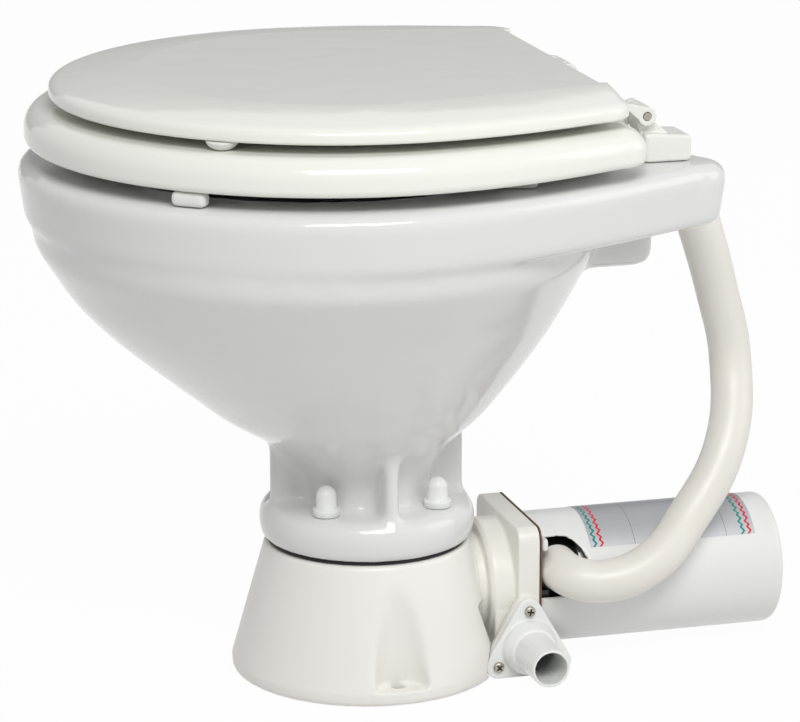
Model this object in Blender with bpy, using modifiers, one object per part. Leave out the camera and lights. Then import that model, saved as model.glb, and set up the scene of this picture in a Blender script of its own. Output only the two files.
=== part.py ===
"""Electric marine toilet: porcelain bowl on a plastic base, macerator pump and motor behind, seat and lid."""

import math

import bmesh
import bpy
from mathutils import Matrix, Vector

# Metres, +Z up. The floor is at zero, the pedestal stands on the Z axis, the front faces -Y.

# Clearance between neighbouring pieces
fit_gap = 0.0003

# Middle point of a rounded edge, as a share of its radius
round_share = 0.3
sharp_angle = math.radians(40.0)

# Rim of the bowl
rim_top = 0.337
rim_height = 0.039
rim_half_width = 0.188
rim_front = 0.1935
rim_widest_y = -0.022
rim_taper_power = 1.5
rim_edge_round = 0.009
rim_draft = 0.0035
rim_front_steps = 14
rim_side_steps = 8
rim_round_shares = ((0.0, 0.0), (0.22, 0.62), (0.56, 0.90), (1.0, 1.0))

# Ears at the back of the rim, one under each hinge
ear_radius = 0.023
ear_x = 0.0895
ear_y = 0.180
shelf_back_y = 0.184
shelf_notch_half_width = 0.045
ear_sweep = math.radians(135.0)

# Bowl shell: height, centre along Y, half length and half width of each outer section
bowl_sections = [
    (0.304, -0.0318, 0.1765, 0.1800),
    (0.285, -0.0315, 0.1745, 0.1780),
    (0.268, -0.0303, 0.1659, 0.1644),
    (0.248, -0.0279, 0.1543, 0.1466),
    (0.229, -0.0239, 0.1401, 0.1310),
    (0.210, -0.0191, 0.1229, 0.1152),
    (0.190, -0.0141, 0.1031, 0.0982),
    (0.170, -0.0094, 0.0819, 0.0800),
    (0.156, -0.0048, 0.0630, 0.0625),
    (0.146, -0.0015, 0.0510, 0.0510),
    (0.138, 0.0000, 0.0445, 0.0445),
    (0.128, 0.0000, 0.0405, 0.0405),
    (0.108, 0.0000, 0.0390, 0.0390),
]
bowl_wall = 0.0088
bowl_steps = 36
hollow_steps = 26
hollow_lead_share = 1 / 3

# Opening of the bowl and the flushing channel under the rim
mouth_centre_y = -0.033
mouth_half_length = 0.138
mouth_half_width = 0.143
lip_wall = 0.006
lip_depth = 0.031
channel_width = 0.014
channel_roof = 0.011
drain_radius = 0.028
drain_top = 0.136

# Rear water inlet chamber under the shelf
chamber_half_width = 0.060
chamber_front_y = 0.090
chamber_back_y = 0.1705
chamber_bottom = 0.2635
chamber_round = 0.010

# Neck ribs and foot flange of the bowl
rib_count = 4
rib_thickness = 0.0090
rib_inset = 0.0020
rib_top = 0.168
flange_overhang = 0.0010
flange_bottom = 0.0884
flange_thickness = 0.0245
flange_bulge = 0.0020
flange_round = 0.0035
gasket_thickness = 0.0022

# Flange bolts and their cap nuts
bolt_inset = 0.0145
bolt_radius = 0.0030
bolt_hole_radius = 0.0042
bolt_head_radius = 0.0060
bolt_head_height = 0.0040
bolt_reach = 0.0060
cap_collar_radius = 0.0086
cap_collar_height = 0.0045
cap_dome_radius = 0.0065
cap_height = 0.0192
cap_bore_depth = 0.0120

# Pedestal base
base_top_radius = 0.0655
base_foot_radius = 0.0866
base_foot_z = 0.0080
base_sole_inset = 0.0041
base_wall = 0.0050
base_roof = 0.0060
base_steps = 44
sole_ring_width = 0.0070
sole_plate_thickness = 0.0040
sole_ledge = 0.0030

# Flutes over the two floor bolts
flute_radius = 0.0175
flute_axis_inset = 0.0011
pad_top = 0.0096
floor_hole_radius = 0.00425
floor_hole_inset = 0.0130
pad_block_half_width = 0.0215
pad_block_reach = 0.0255

# Motor and pump line, along +Y behind the base
line_z = 0.0490
snout_radius = 0.0330
snout_front_y = 0.0500
collar_radius = 0.0415
collar_front_y = 0.0710
plate_front_y = 0.0868
plate_half = 0.0460
plate_thickness = 0.0144
plate_round = 0.0080
foot_half_width = 0.0412
foot_bottom = 0.0020
foot_front_y = 0.0730
pocket_half_width = 0.0445
pocket_front_y = 0.0560
pocket_top = 0.0470
saddle_radius = 0.0360
saddle_end_y = 0.0655
chamber_radius = 0.0285
chamber_start_y = 0.0560
pump_inlet_radius = 0.0230

# Intake elbow between the bowl flange and the pump
elbow_outer = 0.0255
elbow_wall = 0.0025

# Discharge port, flange and spigot, facing +X
port_y = 0.0918
port_z = 0.0205
port_radius = 0.0085
ear_circle = 0.0235
ear_round = 0.0080
ear_clearance = 0.0010
back_plate_face_x = 0.0487
back_plate_depth = 0.0055
flange_plate_thickness = 0.0052
boss_radius = 0.0178
boss_tip_radius = 0.0145
boss_length = 0.0110
spigot_root_radius = 0.0132
spigot_tip_radius = 0.0123
spigot_length = 0.0340
spigot_bore = 0.0105
valve_seat_bore = 0.0125
valve_seat_depth = 0.0240
valve_disc_radius = 0.0140
valve_disc_thickness = 0.0014
valve_tube_radius = 0.0100
valve_lip_radius = 0.0045
valve_length = 0.0180
valve_wall = 0.0012

# Discharge screws
screw_head_radius = 0.0035
screw_head_height = 0.0022
screw_crown_share = 0.62
screw_radius = 0.0016
screw_hole_radius = 0.0020
screw_length = 0.0100
screw_slot_width = 0.0009
screw_slot_length = 0.0042
screw_slot_depth = 0.0010

# Rinse pump behind the plate
pump_gasket_thickness = 0.0008
rinse_flange_radius = 0.0385
rinse_flange_thickness = 0.0070
rinse_body_radius = 0.0310
rinse_body_length = 0.0240
rinse_chamber_radius = 0.0260
rinse_chamber_depth = 0.0190
rinse_cover_thickness = 0.0050
rinse_port_y = 0.1165
rinse_port_z = 0.0655
rinse_port_radius = 0.0089
rinse_port_bore = 0.0065
rinse_port_start_x = 0.0120
rinse_outlet_end_x = 0.0395
rinse_inlet_end_x = 0.0760
shaft_seal_radius = 0.0100
shaft_seal_length = 0.0045
pump_screw_circle = 0.0346

# Motor inside its cover
cover_radius = 0.0425
cover_wall = 0.0022
cover_end_y = 0.2690
cover_edge_round = 0.0040
window_length = 0.0330
window_top_angle = math.radians(52.0)
window_bottom_angle = math.radians(-1.0)
window_round = 0.0160
window_depth_share = 0.8
cover_flange_thickness = 0.0043
can_radius = 0.0365
can_wall = 0.0020
can_length = 0.1080
bell_thickness = 0.0040
rear_cap_thickness = 0.0048
magnet_thickness = 0.0045
magnet_length = 0.0700
magnet_arc = math.radians(118.0)
bearing_radius = 0.0110
bearing_length = 0.0050
bearing_bore = 0.0043
armature_radius = 0.0280
armature_length = 0.0620
armature_slots = 8
armature_slot_width = 0.0040
armature_slot_depth = 0.0060
commutator_radius = 0.0110
commutator_length = 0.0140

# Rotor
shaft_radius = 0.0040
shaft_front_y = 0.0575
macerator_hub_radius = 0.0090
macerator_radius = 0.0265
macerator_length = 0.0240
macerator_blades = 4
blade_thickness = 0.0025
rinse_impeller_hub_radius = 0.0085
rinse_impeller_radius = 0.0240
rinse_impeller_length = 0.0120
rinse_impeller_blades = 6

# Rinse hose from the pump to the back of the bowl
hose_radius = 0.0136
hose_bore = 0.0096
hose_cover = 0.0084
hose_bend = 0.0170
hose_side_x = 0.0610
hose_sag = 0.0035
hose_back_y = 0.2438
hose_mid_z = 0.1850
hose_low_y = 0.1680
hose_low_rise = 0.0045
hose_lift_y = 0.2010
hose_lift_z = 0.0945
hose_lift_x = 0.0440
hose_climb_y = 0.2318
hose_climb_z = 0.1350
hose_climb_x = 0.0260
hose_flare_share = 0.04
spud_lean = math.radians(20.0)

# Inlet elbow at the back of the bowl
spud_radius = 0.0092
spud_bore = 0.0065
spud_z = 0.3130
spud_root_y = 0.1720
spud_bend_y = 0.1970
spud_bend = 0.0140
spud_leg = 0.0300
spud_collar_radius = 0.0125
spud_collar_length = 0.0060

# Hinges
hinge_y = 0.1520
hinge_z = 0.3660
block_inner_x = 0.0620
block_outer_x = 0.0920
block_front_y = 0.1505
block_back_y = 0.1810
block_height = 0.0180
block_back_height = 0.0158
block_round = 0.0022
knuckle_radius = 0.0060
knuckle_width = 0.0064
nose_inner_x = 0.0665
nose_outer_x = 0.0847
hinge_pin_radius = 0.0025
stud_radius = 0.0050
stud_hole_radius = 0.0060
stud_length = 0.0330
shelf_thickness = 0.0180
nut_recess_radius = 0.0155
nut_radius = 0.0130
nut_height = 0.0080
nut_taper_share = 0.8
arm_thickness = 0.0049
arm_reach = 0.0480
arm_pad_width = 0.0240

# Seat
seat_bottom = 0.3465
seat_thickness = 0.0225
seat_half_width = 0.1865
seat_front = 0.1915
seat_widest_y = -0.020
seat_back_y = 0.1370
seat_back_half_width = 0.1400
seat_corner = 0.0200
seat_top_round = 0.0125
seat_foot_round = 0.0050
seat_taper_power = 1.885
seat_round_shares = ((0.0, 0.0), (0.13, 0.50), (0.50, 0.87), (1.0, 1.0))
seat_hole_half_width = 0.1120
seat_hole_front = 0.1130
seat_hole_back_y = 0.0820
seat_hole_centre_y = -0.040
seat_steps = 44

# Lid
lid_bottom = 0.3750
lid_thickness = 0.0146
lid_edge = 0.0092
lid_side_inset = 0.0125
lid_front_inset = 0.0105
lid_widest_y = -0.015
lid_back_y = 0.1270
lid_back_half_width = 0.1380
lid_corner = 0.0220
lid_recess_half_width = 0.0965
lid_recess_depth = 0.0080
lid_crown_share = 0.62
lid_taper_power = 1.860
lid_flat_half_width = 0.1260
lid_flat_front = 0.1270
lid_flat_back_half_width = 0.1000
lid_flat_corner = 0.0060
lid_flat_taper_power = 1.000

# Rubber buffers
seat_buffer_length = 0.0220
seat_buffer_width = 0.0100
seat_buffer_front_inset = (0.0535, 0.0495)
seat_buffer_back_inset = 0.0485
seat_buffer_back_y = 0.0560
lid_buffer_radius = 0.0100
lid_buffer_inset = (0.0440, 0.0590)
dome_share = 0.8
front_buffer_turn = math.radians(-38.0)
back_buffer_turn = math.radians(-16.0)

# Colours of the materials
porcelain_white = (0.76, 0.76, 0.76)
seat_white = (0.86, 0.87, 0.82)
ivory_plastic = (0.83, 0.81, 0.76)
cover_white = (0.76, 0.76, 0.75)
outlet_white = (0.78, 0.79, 0.77)
hose_white = (0.84, 0.82, 0.76)
black_plastic = (0.02, 0.02, 0.02)
rubber_black = (0.03, 0.03, 0.03)
rubber_white = (0.80, 0.80, 0.77)
fibre_brown = (0.36, 0.26, 0.12)
steel_grey = (0.62, 0.61, 0.59)
copper_red = (0.72, 0.36, 0.20)
magnet_grey = (0.12, 0.12, 0.13)

# Roughness of the finishes
plastic_rough = 0.35
gloss_rough = 0.12
rubber_rough = 0.70
metal_rough = 0.30

up = Vector((0, 0, 1))
along_x = Vector((1, 0, 0))
along_y = Vector((0, 1, 0))


def clear_scene():
    for ob in list(bpy.data.objects):
        bpy.data.objects.remove(ob, do_unlink=True)


def new_collection(name):
    group = bpy.data.collections.new(name)
    bpy.context.scene.collection.children.link(group)
    return group


clear_scene()
toilet = new_collection("electric_marine_toilet")
cutters = new_collection("cutters")


def finish(name, colour, roughness, metallic=0.0):
    """Give the object named here a material of its own."""
    mat = bpy.data.materials.new(name + "_finish")
    mat.use_nodes = True
    shader = mat.node_tree.nodes["Principled BSDF"]
    shader.inputs["Base Color"].default_value = (*colour, 1.0)
    shader.inputs["Roughness"].default_value = roughness
    shader.inputs["Metallic"].default_value = metallic
    mat.diffuse_color = (*colour, 1.0)
    part = bpy.data.objects[name]
    part.data.materials.clear()
    part.data.materials.append(mat)
    return part


def new_object(name, mesh, smooth=True):
    part = bpy.data.objects.new(name, mesh)
    toilet.objects.link(part)
    for face in mesh.polygons:
        face.use_smooth = smooth
    return part


def as_tool(part):
    """Move an object to the cutters, so it only shapes others."""
    toilet.objects.unlink(part)
    cutters.objects.link(part)
    part.hide_render = True
    part.display_type = "WIRE"
    return part


def boolean(part, tool, kind):
    step = part.modifiers.new(tool.name, "BOOLEAN")
    step.operation = kind
    step.solver = "EXACT"
    step.object = tool
    return part


def cut(part, tool):
    return boolean(part, as_tool(tool), "DIFFERENCE")


def fuse(part, tool):
    return boolean(part, as_tool(tool), "UNION")


def bevel(part, width, segments=3, angle=sharp_angle):
    step = part.modifiers.new("round", "BEVEL")
    step.width = width
    step.segments = segments
    step.limit_method = "ANGLE"
    step.angle_limit = angle
    return part


def facing(direction):
    """Rotation that takes +Z to the direction given."""
    return up.rotation_difference(direction).to_matrix().to_4x4()


def revolve(name, profile, origin, direction=up, steps=32):
    """Solid of revolution from a closed profile of (radius, height) that runs down its outer side."""
    mesh = bpy.data.meshes.new(name)
    points = [(radius, 0, height) for radius, height in profile]
    ring = [(k, k + 1) for k in range(len(points) - 1)]
    if profile[0][0] > 0:
        ring.append((len(points) - 1, 0))
    mesh.from_pydata(points, ring, [])
    part = new_object(name, mesh)
    spin = part.modifiers.new("revolve", "SCREW")
    spin.axis = "Z"
    spin.steps = steps
    spin.render_steps = steps
    spin.use_merge_vertices = True
    spin.merge_threshold = 0.00001
    spin.use_smooth_shade = True
    part.matrix_world = Matrix.Translation(origin) @ facing(direction)
    return part


def rod(name, radius, start, end, steps=24, end_radius=None):
    """Round bar, or a cone where the end radius differs."""
    start, end = Vector(start), Vector(end)
    mesh = bpy.data.meshes.new(name)
    bm = bmesh.new()
    bmesh.ops.create_cone(bm, cap_ends=True, segments=steps, radius1=radius,
                          radius2=radius if end_radius is None else end_radius,
                          depth=(end - start).length)
    bm.to_mesh(mesh)
    bm.free()
    part = new_object(name, mesh)
    part.matrix_world = Matrix.Translation((start + end) / 2) @ facing(end - start)
    return part


def box(name, low, high):
    """Block between two opposite corners."""
    low, high = Vector(low), Vector(high)
    mesh = bpy.data.meshes.new(name)
    bm = bmesh.new()
    bmesh.ops.create_cube(bm, size=1.0)
    bmesh.ops.scale(bm, vec=high - low, verts=bm.verts)
    bm.to_mesh(mesh)
    bm.free()
    part = new_object(name, mesh, smooth=False)
    part.matrix_world = Matrix.Translation((low + high) / 2)
    return part


def as_mesh(part):
    """Turn a curve object into a mesh object with welded seams."""
    graph = bpy.context.evaluated_depsgraph_get()
    mesh = bpy.data.meshes.new_from_object(part.evaluated_get(graph))
    place, name = part.matrix_world.copy(), part.name
    bpy.data.objects.remove(part, do_unlink=True)
    bm = bmesh.new()
    bm.from_mesh(mesh)
    bmesh.ops.remove_doubles(bm, verts=bm.verts, dist=0.00001)
    bmesh.ops.recalc_face_normals(bm, faces=bm.faces)
    bm.to_mesh(mesh)
    bm.free()
    mesh.name = name
    solid = new_object(name, mesh)
    solid.matrix_world = place
    return solid


def slab(name, outlines, thickness, place):
    """Flat plate from closed outlines; the second and later ones are holes."""
    curve = bpy.data.curves.new(name, "CURVE")
    curve.dimensions = "2D"
    curve.fill_mode = "BOTH"
    curve.extrude = thickness / 2
    for outline in outlines:
        line = curve.splines.new("POLY")
        line.points.add(len(outline) - 1)
        line.use_cyclic_u = True
        for point, (x, y) in zip(line.points, outline):
            point.co = (x, y, 0, 1)
    part = bpy.data.objects.new(name, curve)
    toilet.objects.link(part)
    part.matrix_world = place
    bpy.context.view_layer.update()
    part = as_mesh(part)
    part.data.polygons.foreach_set("use_smooth", [False] * len(part.data.polygons))
    return part


def pipe(name, points, radius, wall, flare=None, rings=12, turn_steps=4, smooth_line=True):
    """Bent tube with a bore along a smooth line through the points."""
    curve = bpy.data.curves.new(name, "CURVE")
    curve.dimensions = "3D"
    curve.bevel_depth = radius
    curve.bevel_resolution = rings // 2 - 2
    curve.resolution_u = turn_steps
    curve.use_fill_caps = False
    line = curve.splines.new("BEZIER" if smooth_line else "POLY")
    knots = line.bezier_points if smooth_line else line.points
    knots.add(len(points) - 1)
    for k, (knot, point) in enumerate(zip(knots, points)):
        if smooth_line:
            knot.co = point
            knot.handle_left_type = knot.handle_right_type = "AUTO"
        else:
            knot.co = (*point, 1)
        if flare is not None:
            knot.radius = flare[k]
    part = bpy.data.objects.new(name, curve)
    toilet.objects.link(part)
    bpy.context.view_layer.update()
    part = as_mesh(part)
    shell = part.modifiers.new("wall", "SOLIDIFY")
    shell.thickness = wall
    shell.offset = -1.0
    shell.use_even_offset = True
    return part


def loft(name, rings, closed=False):
    """Skin through rings of equal point counts; closed joins the last ring to the first."""
    mesh = bpy.data.meshes.new(name)
    count = len(rings[0])
    points = [point for ring in rings for point in ring]
    faces = []
    spans = len(rings) if closed else len(rings) - 1
    for k in range(spans):
        here, there = k * count, (k + 1) % len(rings) * count
        for j in range(count):
            turn = (j + 1) % count
            faces.append((here + j, here + turn, there + turn, there + j))
    if not closed:
        faces.append(tuple(reversed(range(count))))
        faces.append(tuple(range((len(rings) - 1) * count, len(rings) * count)))
    mesh.from_pydata(points, [], faces)
    bm = bmesh.new()
    bm.from_mesh(mesh)
    bmesh.ops.recalc_face_normals(bm, faces=bm.faces)
    bm.to_mesh(mesh)
    bm.free()
    return new_object(name, mesh)


def oval(z, centre_y, half_length, half_width, steps, lead_share=0.0):
    """Ring of points round an ellipse, turned on by a share of one step."""
    turns = [2 * math.pi * (k + lead_share) / steps for k in range(steps)]
    return [(half_width * math.sin(t), centre_y - half_length * math.cos(t), z) for t in turns]


def arc(centre, radius, start, end, steps):
    turns = [start + (end - start) * k / steps for k in range(steps + 1)]
    return [(centre[0] + radius * math.cos(t), centre[1] + radius * math.sin(t)) for t in turns]


def pan_outline(half_width, front, widest_y, back_y, back_half_width, corner, power, steps):
    """Seat shape seen from above: elliptic front, tapering sides, straight back, round corners."""
    front_steps = steps // 4
    side_steps = steps // 6
    corner_steps = steps // 12
    side = []
    for k in range(front_steps):
        t = math.pi / 2 * k / front_steps
        side.append((half_width * math.sin(t), widest_y - front * math.cos(t)))
    side_end = back_y - corner
    for k in range(side_steps):
        y = widest_y + (side_end - widest_y) * k / side_steps
        reach = ((y - widest_y) / (back_y - widest_y)) ** power
        side.append((half_width - (half_width - back_half_width) * reach, y))
    reach = ((side_end - widest_y) / (back_y - widest_y)) ** power
    side_x = half_width - (half_width - back_half_width) * reach
    side += arc((side_x - corner, side_end), corner, 0, math.pi / 2, corner_steps)
    mirror = [(-x, y) for x, y in reversed(side[1:])]
    return side + mirror


def at_height(outline, z):
    return [(x, y, z) for x, y in outline]


def hang(axis_name, place, members):
    """Empty on a joint axis that carries the pieces turning about it."""
    axis = bpy.data.objects.new(axis_name, None)
    toilet.objects.link(axis)
    axis.matrix_world = Matrix.Translation(place)
    bpy.context.view_layer.update()
    for member in members:
        member.parent = axis
        member.matrix_parent_inverse = axis.matrix_world.inverted()
    return axis


# Places worked out from the sizes above
rim_bottom = rim_top - rim_height
flange_top = flange_bottom + flange_thickness
gasket_bottom = flange_bottom - fit_gap - gasket_thickness
base_top = gasket_bottom - fit_gap
plate_back_y = plate_front_y + plate_thickness
pump_gasket_y = plate_back_y + fit_gap
rinse_front_y = pump_gasket_y + pump_gasket_thickness + fit_gap
rinse_back_y = rinse_front_y + rinse_body_length
rinse_cover_y = rinse_back_y + fit_gap
bell_y = rinse_cover_y + rinse_cover_thickness + fit_gap
can_y = bell_y + bell_thickness + fit_gap
rear_cap_y = can_y + can_length + fit_gap
cover_inner = cover_radius - cover_wall
seat_top = seat_bottom + seat_thickness
lid_top = lid_bottom + lid_thickness
lid_half_width = seat_half_width - lid_side_inset
lid_front = seat_front - lid_front_inset
seat_buffer_front = (seat_half_width - seat_buffer_front_inset[0], seat_buffer_front_inset[1] - seat_front)
seat_buffer_back = (seat_half_width - seat_buffer_back_inset, seat_buffer_back_y)
lid_buffer_place = (lid_half_width - lid_buffer_inset[0], lid_buffer_inset[1] - lid_front)
rib_reach = base_top_radius - rib_inset
flange_radius = base_top_radius + flange_overhang
bolt_circle = base_top_radius - bolt_inset
base_sole_radius = base_foot_radius - base_sole_inset
sole_plate_radius = base_sole_radius - sole_ring_width
flute_axis_x = base_foot_radius - flute_axis_inset
floor_hole_x = flute_axis_x - floor_hole_inset
pad_block_inner_x = flute_axis_x - pad_block_reach
axis_of_line = Vector((0, 0, line_z))


def rim_outline(inset):
    """Plan of the bowl rim with an ear behind each side and a straight shelf edge between them."""
    half_width = rim_half_width - inset
    front = rim_front - inset
    radius = ear_radius - inset
    side = []
    for k in range(rim_front_steps):
        t = math.pi / 2 * k / rim_front_steps
        side.append((half_width * math.sin(t), rim_widest_y - front * math.cos(t)))
    ear_side_x = ear_x + radius
    for k in range(rim_side_steps):
        y = rim_widest_y + (ear_y - rim_widest_y) * k / rim_side_steps
        reach = ((y - rim_widest_y) / (ear_y - rim_widest_y)) ** rim_taper_power
        side.append((half_width - (half_width - ear_side_x) * reach, y))
    side += arc((ear_x, ear_y), radius, 0, ear_sweep, 6)
    side.append((shelf_notch_half_width, shelf_back_y - inset))
    mirror = [(-x, y) for x, y in reversed(side[1:])]
    return side + mirror


def bolt_places():
    """Four places on the bolt circle, between the ribs."""
    turns = [math.pi / 4 + math.pi / 2 * k for k in range(4)]
    return [(bolt_circle * math.cos(t), bolt_circle * math.sin(t)) for t in turns]


def make_bowl():
    """Porcelain pan with its box rim, hinge shelf, inlet chamber, ribbed neck and foot flange."""
    edge = rim_edge_round
    rings = [at_height(rim_outline(rim_draft + edge / 3), rim_bottom),
             at_height(rim_outline(rim_draft), rim_bottom + edge / 3)]
    rings += [at_height(rim_outline(edge * inset), rim_top - edge + edge * lift)
              for inset, lift in rim_round_shares]
    bowl = loft("bowl", rings)

    body = [oval(*section, bowl_steps) for section in bowl_sections]
    fuse(bowl, loft("pan_body", body))
    chamber = box("inlet_chamber", (-chamber_half_width, chamber_front_y, chamber_bottom),
                  (chamber_half_width, chamber_back_y, rim_bottom + edge))
    fuse(bowl, bevel(chamber, chamber_round, 3))

    for k in range(rib_count // 2):
        rib = box("neck_rib_%d" % k, (-rib_reach, -rib_thickness / 2, flange_top - edge),
                  (rib_reach, rib_thickness / 2, rib_top))
        rib.matrix_world = Matrix.Rotation(math.pi / 2 * k, 4, "Z") @ rib.matrix_world
        fuse(bowl, rib)
    flange = revolve("foot_flange", [
        (0, flange_top),
        (flange_radius - flange_round, flange_top),
        (flange_radius, flange_top - flange_round),
        (flange_radius + flange_bulge, flange_bottom + flange_thickness / 2),
        (flange_radius, flange_bottom + flange_round / 2),
        (flange_radius - flange_round / 2, flange_bottom),
        (0, flange_bottom)], (0, 0, 0), steps=40)
    fuse(bowl, flange)

    above = rim_top + edge
    lip_bottom = rim_top - lip_depth
    roof = rim_top - channel_roof
    mouth = [(above, 0), (lip_bottom, 0), (lip_bottom, lip_wall), (roof, lip_wall),
             (roof, lip_wall + channel_width)]
    hollow = [(z, mouth_centre_y, mouth_half_length + out, mouth_half_width + out) for z, out in mouth]
    hollow += [(z, y, half_length - bowl_wall, half_width - bowl_wall)
               for z, y, half_length, half_width in bowl_sections[1:] if z > drain_top + bowl_wall]
    hollow += [(z, 0, drain_radius, drain_radius) for z in (drain_top, flange_bottom - edge)]
    cut(bowl, loft("pan_hollow", [oval(*ring, hollow_steps, hollow_lead_share) for ring in hollow]))

    for k, (x, y) in enumerate(bolt_places()):
        cut(bowl, rod("flange_hole_%d" % k, bolt_hole_radius, (x, y, flange_bottom - edge),
                      (x, y, flange_top + edge), 12))
    for k, side in enumerate((-1, 1)):
        hinge_x = side * (block_inner_x + block_outer_x) / 2
        cut(bowl, rod("stud_hole_%d" % k, stud_hole_radius, (hinge_x, stud_place_y(), rim_bottom - edge),
                      (hinge_x, stud_place_y(), rim_top + edge), 16))
        cut(bowl, rod("nut_recess_%d" % k, nut_recess_radius, (hinge_x, stud_place_y(), rim_bottom - edge),
                      (hinge_x, stud_place_y(), rim_top - shelf_thickness), 20))
    cut(bowl, rod("inlet_hole", spud_radius + fit_gap, (0, mouth_centre_y + mouth_half_length, spud_z),
                  (0, shelf_back_y + edge, spud_z), 20))
    return finish("bowl", porcelain_white, gloss_rough)


def stud_place_y():
    """The hinge stud stands under the middle of its block."""
    return (block_front_y + block_back_y) / 2


def make_bowl_gasket():
    ring = [(x, y) for x, y in arc((0, 0), base_top_radius, 0, 2 * math.pi, 32)[:-1]]
    hole = arc((0, 0), drain_radius + fit_gap, 0, 2 * math.pi, 18)[:-1]
    holes = [arc(place, bolt_hole_radius, 0, 2 * math.pi, 8)[:-1] for place in bolt_places()]
    slab("bowl_gasket", [ring, hole] + holes, gasket_thickness,
         Matrix.Translation((0, 0, gasket_bottom + gasket_thickness / 2)))
    finish("bowl_gasket", rubber_black, rubber_rough)


def make_base():
    """Hollow ivory pedestal with two fluted floor bolt pads and a rear pocket for the pump."""
    inner_foot = base_foot_radius - base_wall
    inner_top = base_top_radius - base_wall
    base = revolve("base", [
        (base_top_radius - base_wall / 3, base_top),
        (base_top_radius, base_top - base_wall / 3),
        (base_foot_radius, base_foot_z),
        (base_foot_radius - base_wall / 8, base_foot_z / 3),
        (base_sole_radius, 0),
        (sole_plate_radius + fit_gap, 0),
        (sole_plate_radius + fit_gap, sole_plate_thickness + fit_gap),
        (inner_foot - sole_ledge, sole_plate_thickness + fit_gap),
        (inner_foot - sole_ledge, base_foot_z),
        (inner_top, base_top - base_roof),
        (drain_radius, base_top - base_roof),
        (drain_radius, base_top)], (0, 0, 0), steps=base_steps)

    below = sole_plate_thickness + fit_gap
    for k, side in enumerate((-1, 1)):
        block = box("pad_block_%d" % k, (pad_block_inner_x, -pad_block_half_width, below),
                    (base_foot_radius - base_wall / 2, pad_block_half_width, base_top - base_roof / 2))
        wedge = rod("pad_cone_%d" % k, base_foot_radius - base_wall / 2, (0, 0, below),
                    (0, 0, base_top), base_steps, end_radius=base_top_radius - base_wall / 2)
        common = boolean(block, as_tool(wedge), "INTERSECT")
        common.matrix_world = Matrix.Rotation(math.pi / 2 * (1 - side), 4, "Z") @ common.matrix_world
        fuse(base, common)
    well = box("pocket_block", (-pocket_half_width - base_wall, pocket_front_y - base_wall, 0),
               (pocket_half_width + base_wall, base_foot_radius, pocket_top + base_wall))
    inside = rod("pocket_cone", base_sole_radius - base_wall / 3, (0, 0, 0), (0, 0, base_top), base_steps,
                 end_radius=base_top_radius - base_wall / 2)
    fuse(base, boolean(well, as_tool(inside), "INTERSECT"))
    fuse(base, rod("saddle", saddle_radius, (0, snout_front_y - base_wall / 2, line_z),
                   (0, saddle_end_y, line_z), 32))
    for k, side in enumerate((-1, 1)):
        cut(base, rod("flute_%d" % k, flute_radius, (side * flute_axis_x, 0, pad_top),
                      (side * flute_axis_x, 0, base_top + base_wall), 24))
        cut(base, rod("floor_hole_%d" % k, floor_hole_radius, (side * floor_hole_x, 0, -base_wall),
                      (side * floor_hole_x, 0, pad_top + base_wall), 14))
    for k, (x, y) in enumerate(bolt_places()):
        cut(base, rod("base_hole_%d" % k, bolt_hole_radius, (x, y, base_top - 2 * base_roof),
                      (x, y, base_top + base_roof), 12))
    cut(base, rod("snout_pocket", snout_radius + fit_gap,
                  (0, snout_front_y - base_wall, line_z), (0, base_foot_radius + base_wall, line_z), 28))
    outline, _ = triangle_outline(ear_round + ear_clearance)
    pocket_x = back_plate_face_x - back_plate_depth - ear_clearance
    cut(base, slab("flange_pocket", [outline], base_foot_radius,
                   Matrix.Translation((pocket_x + base_foot_radius / 2, 0, 0)) @ facing_x))
    cut(base, box("pump_pocket", (-pocket_half_width, pocket_front_y, -base_wall),
                  (pocket_half_width, base_foot_radius + base_wall, pocket_top)))
    cut(base, box("collar_relief", (-pocket_half_width, collar_front_y - fit_gap, pocket_top - base_wall),
                  (pocket_half_width, base_foot_radius + base_wall, base_top + base_wall)))
    return finish("base", ivory_plastic, plastic_rough)


def make_sole_plate():
    """Flat bottom cover of the base, notched at the floor bolts and at the pump."""
    plate = revolve("base_plate", [(0, sole_plate_thickness), (sole_plate_radius, sole_plate_thickness),
                                   (sole_plate_radius, 0), (0, 0)], (0, 0, 0), steps=40)
    for k, side in enumerate((-1, 1)):
        cut(plate, rod("plate_notch_%d" % k, floor_hole_radius, (side * floor_hole_x, 0, -base_wall),
                       (side * floor_hole_x, 0, pad_top), 14))
    cut(plate, box("plate_step", (-base_foot_radius, pocket_front_y - base_wall - fit_gap, -base_wall),
                   (base_foot_radius, base_foot_radius, pad_top)))
    finish("base_plate", ivory_plastic, plastic_rough)


def make_flange_bolts():
    head_top = base_top - base_roof - fit_gap
    for k, (x, y) in enumerate(bolt_places()):
        name = "flange_bolt_%d" % (k + 1)
        tip = flange_top + bolt_reach + cap_bore_depth / 3
        revolve(name, [(0, tip), (bolt_radius, tip), (bolt_radius, head_top),
                       (bolt_head_radius, head_top), (bolt_head_radius, head_top - bolt_head_height),
                       (0, head_top - bolt_head_height)], (x, y, 0), steps=8)
        finish(name, steel_grey, metal_rough, 1.0)
        name = "bolt_cap_%d" % (k + 1)
        bottom = flange_top + fit_gap
        shoulder = bottom + cap_collar_height
        dome = cap_height - cap_collar_height - cap_dome_radius
        crown = [(cap_dome_radius * math.sin(t), shoulder + dome + cap_dome_radius * math.cos(t))
                 for t in (math.radians(a) for a in (0, 32, 62, 90))]
        revolve(name, crown + [
            (cap_dome_radius, shoulder),
            (cap_collar_radius - fit_gap, shoulder), (cap_collar_radius, shoulder - fit_gap * 2),
            (cap_collar_radius, bottom), (bolt_radius + fit_gap, bottom),
            (bolt_radius + fit_gap, bottom + cap_bore_depth), (0, bottom + cap_bore_depth)],
            (x, y, 0), steps=10)
        finish(name, outlet_white, plastic_rough)


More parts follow.
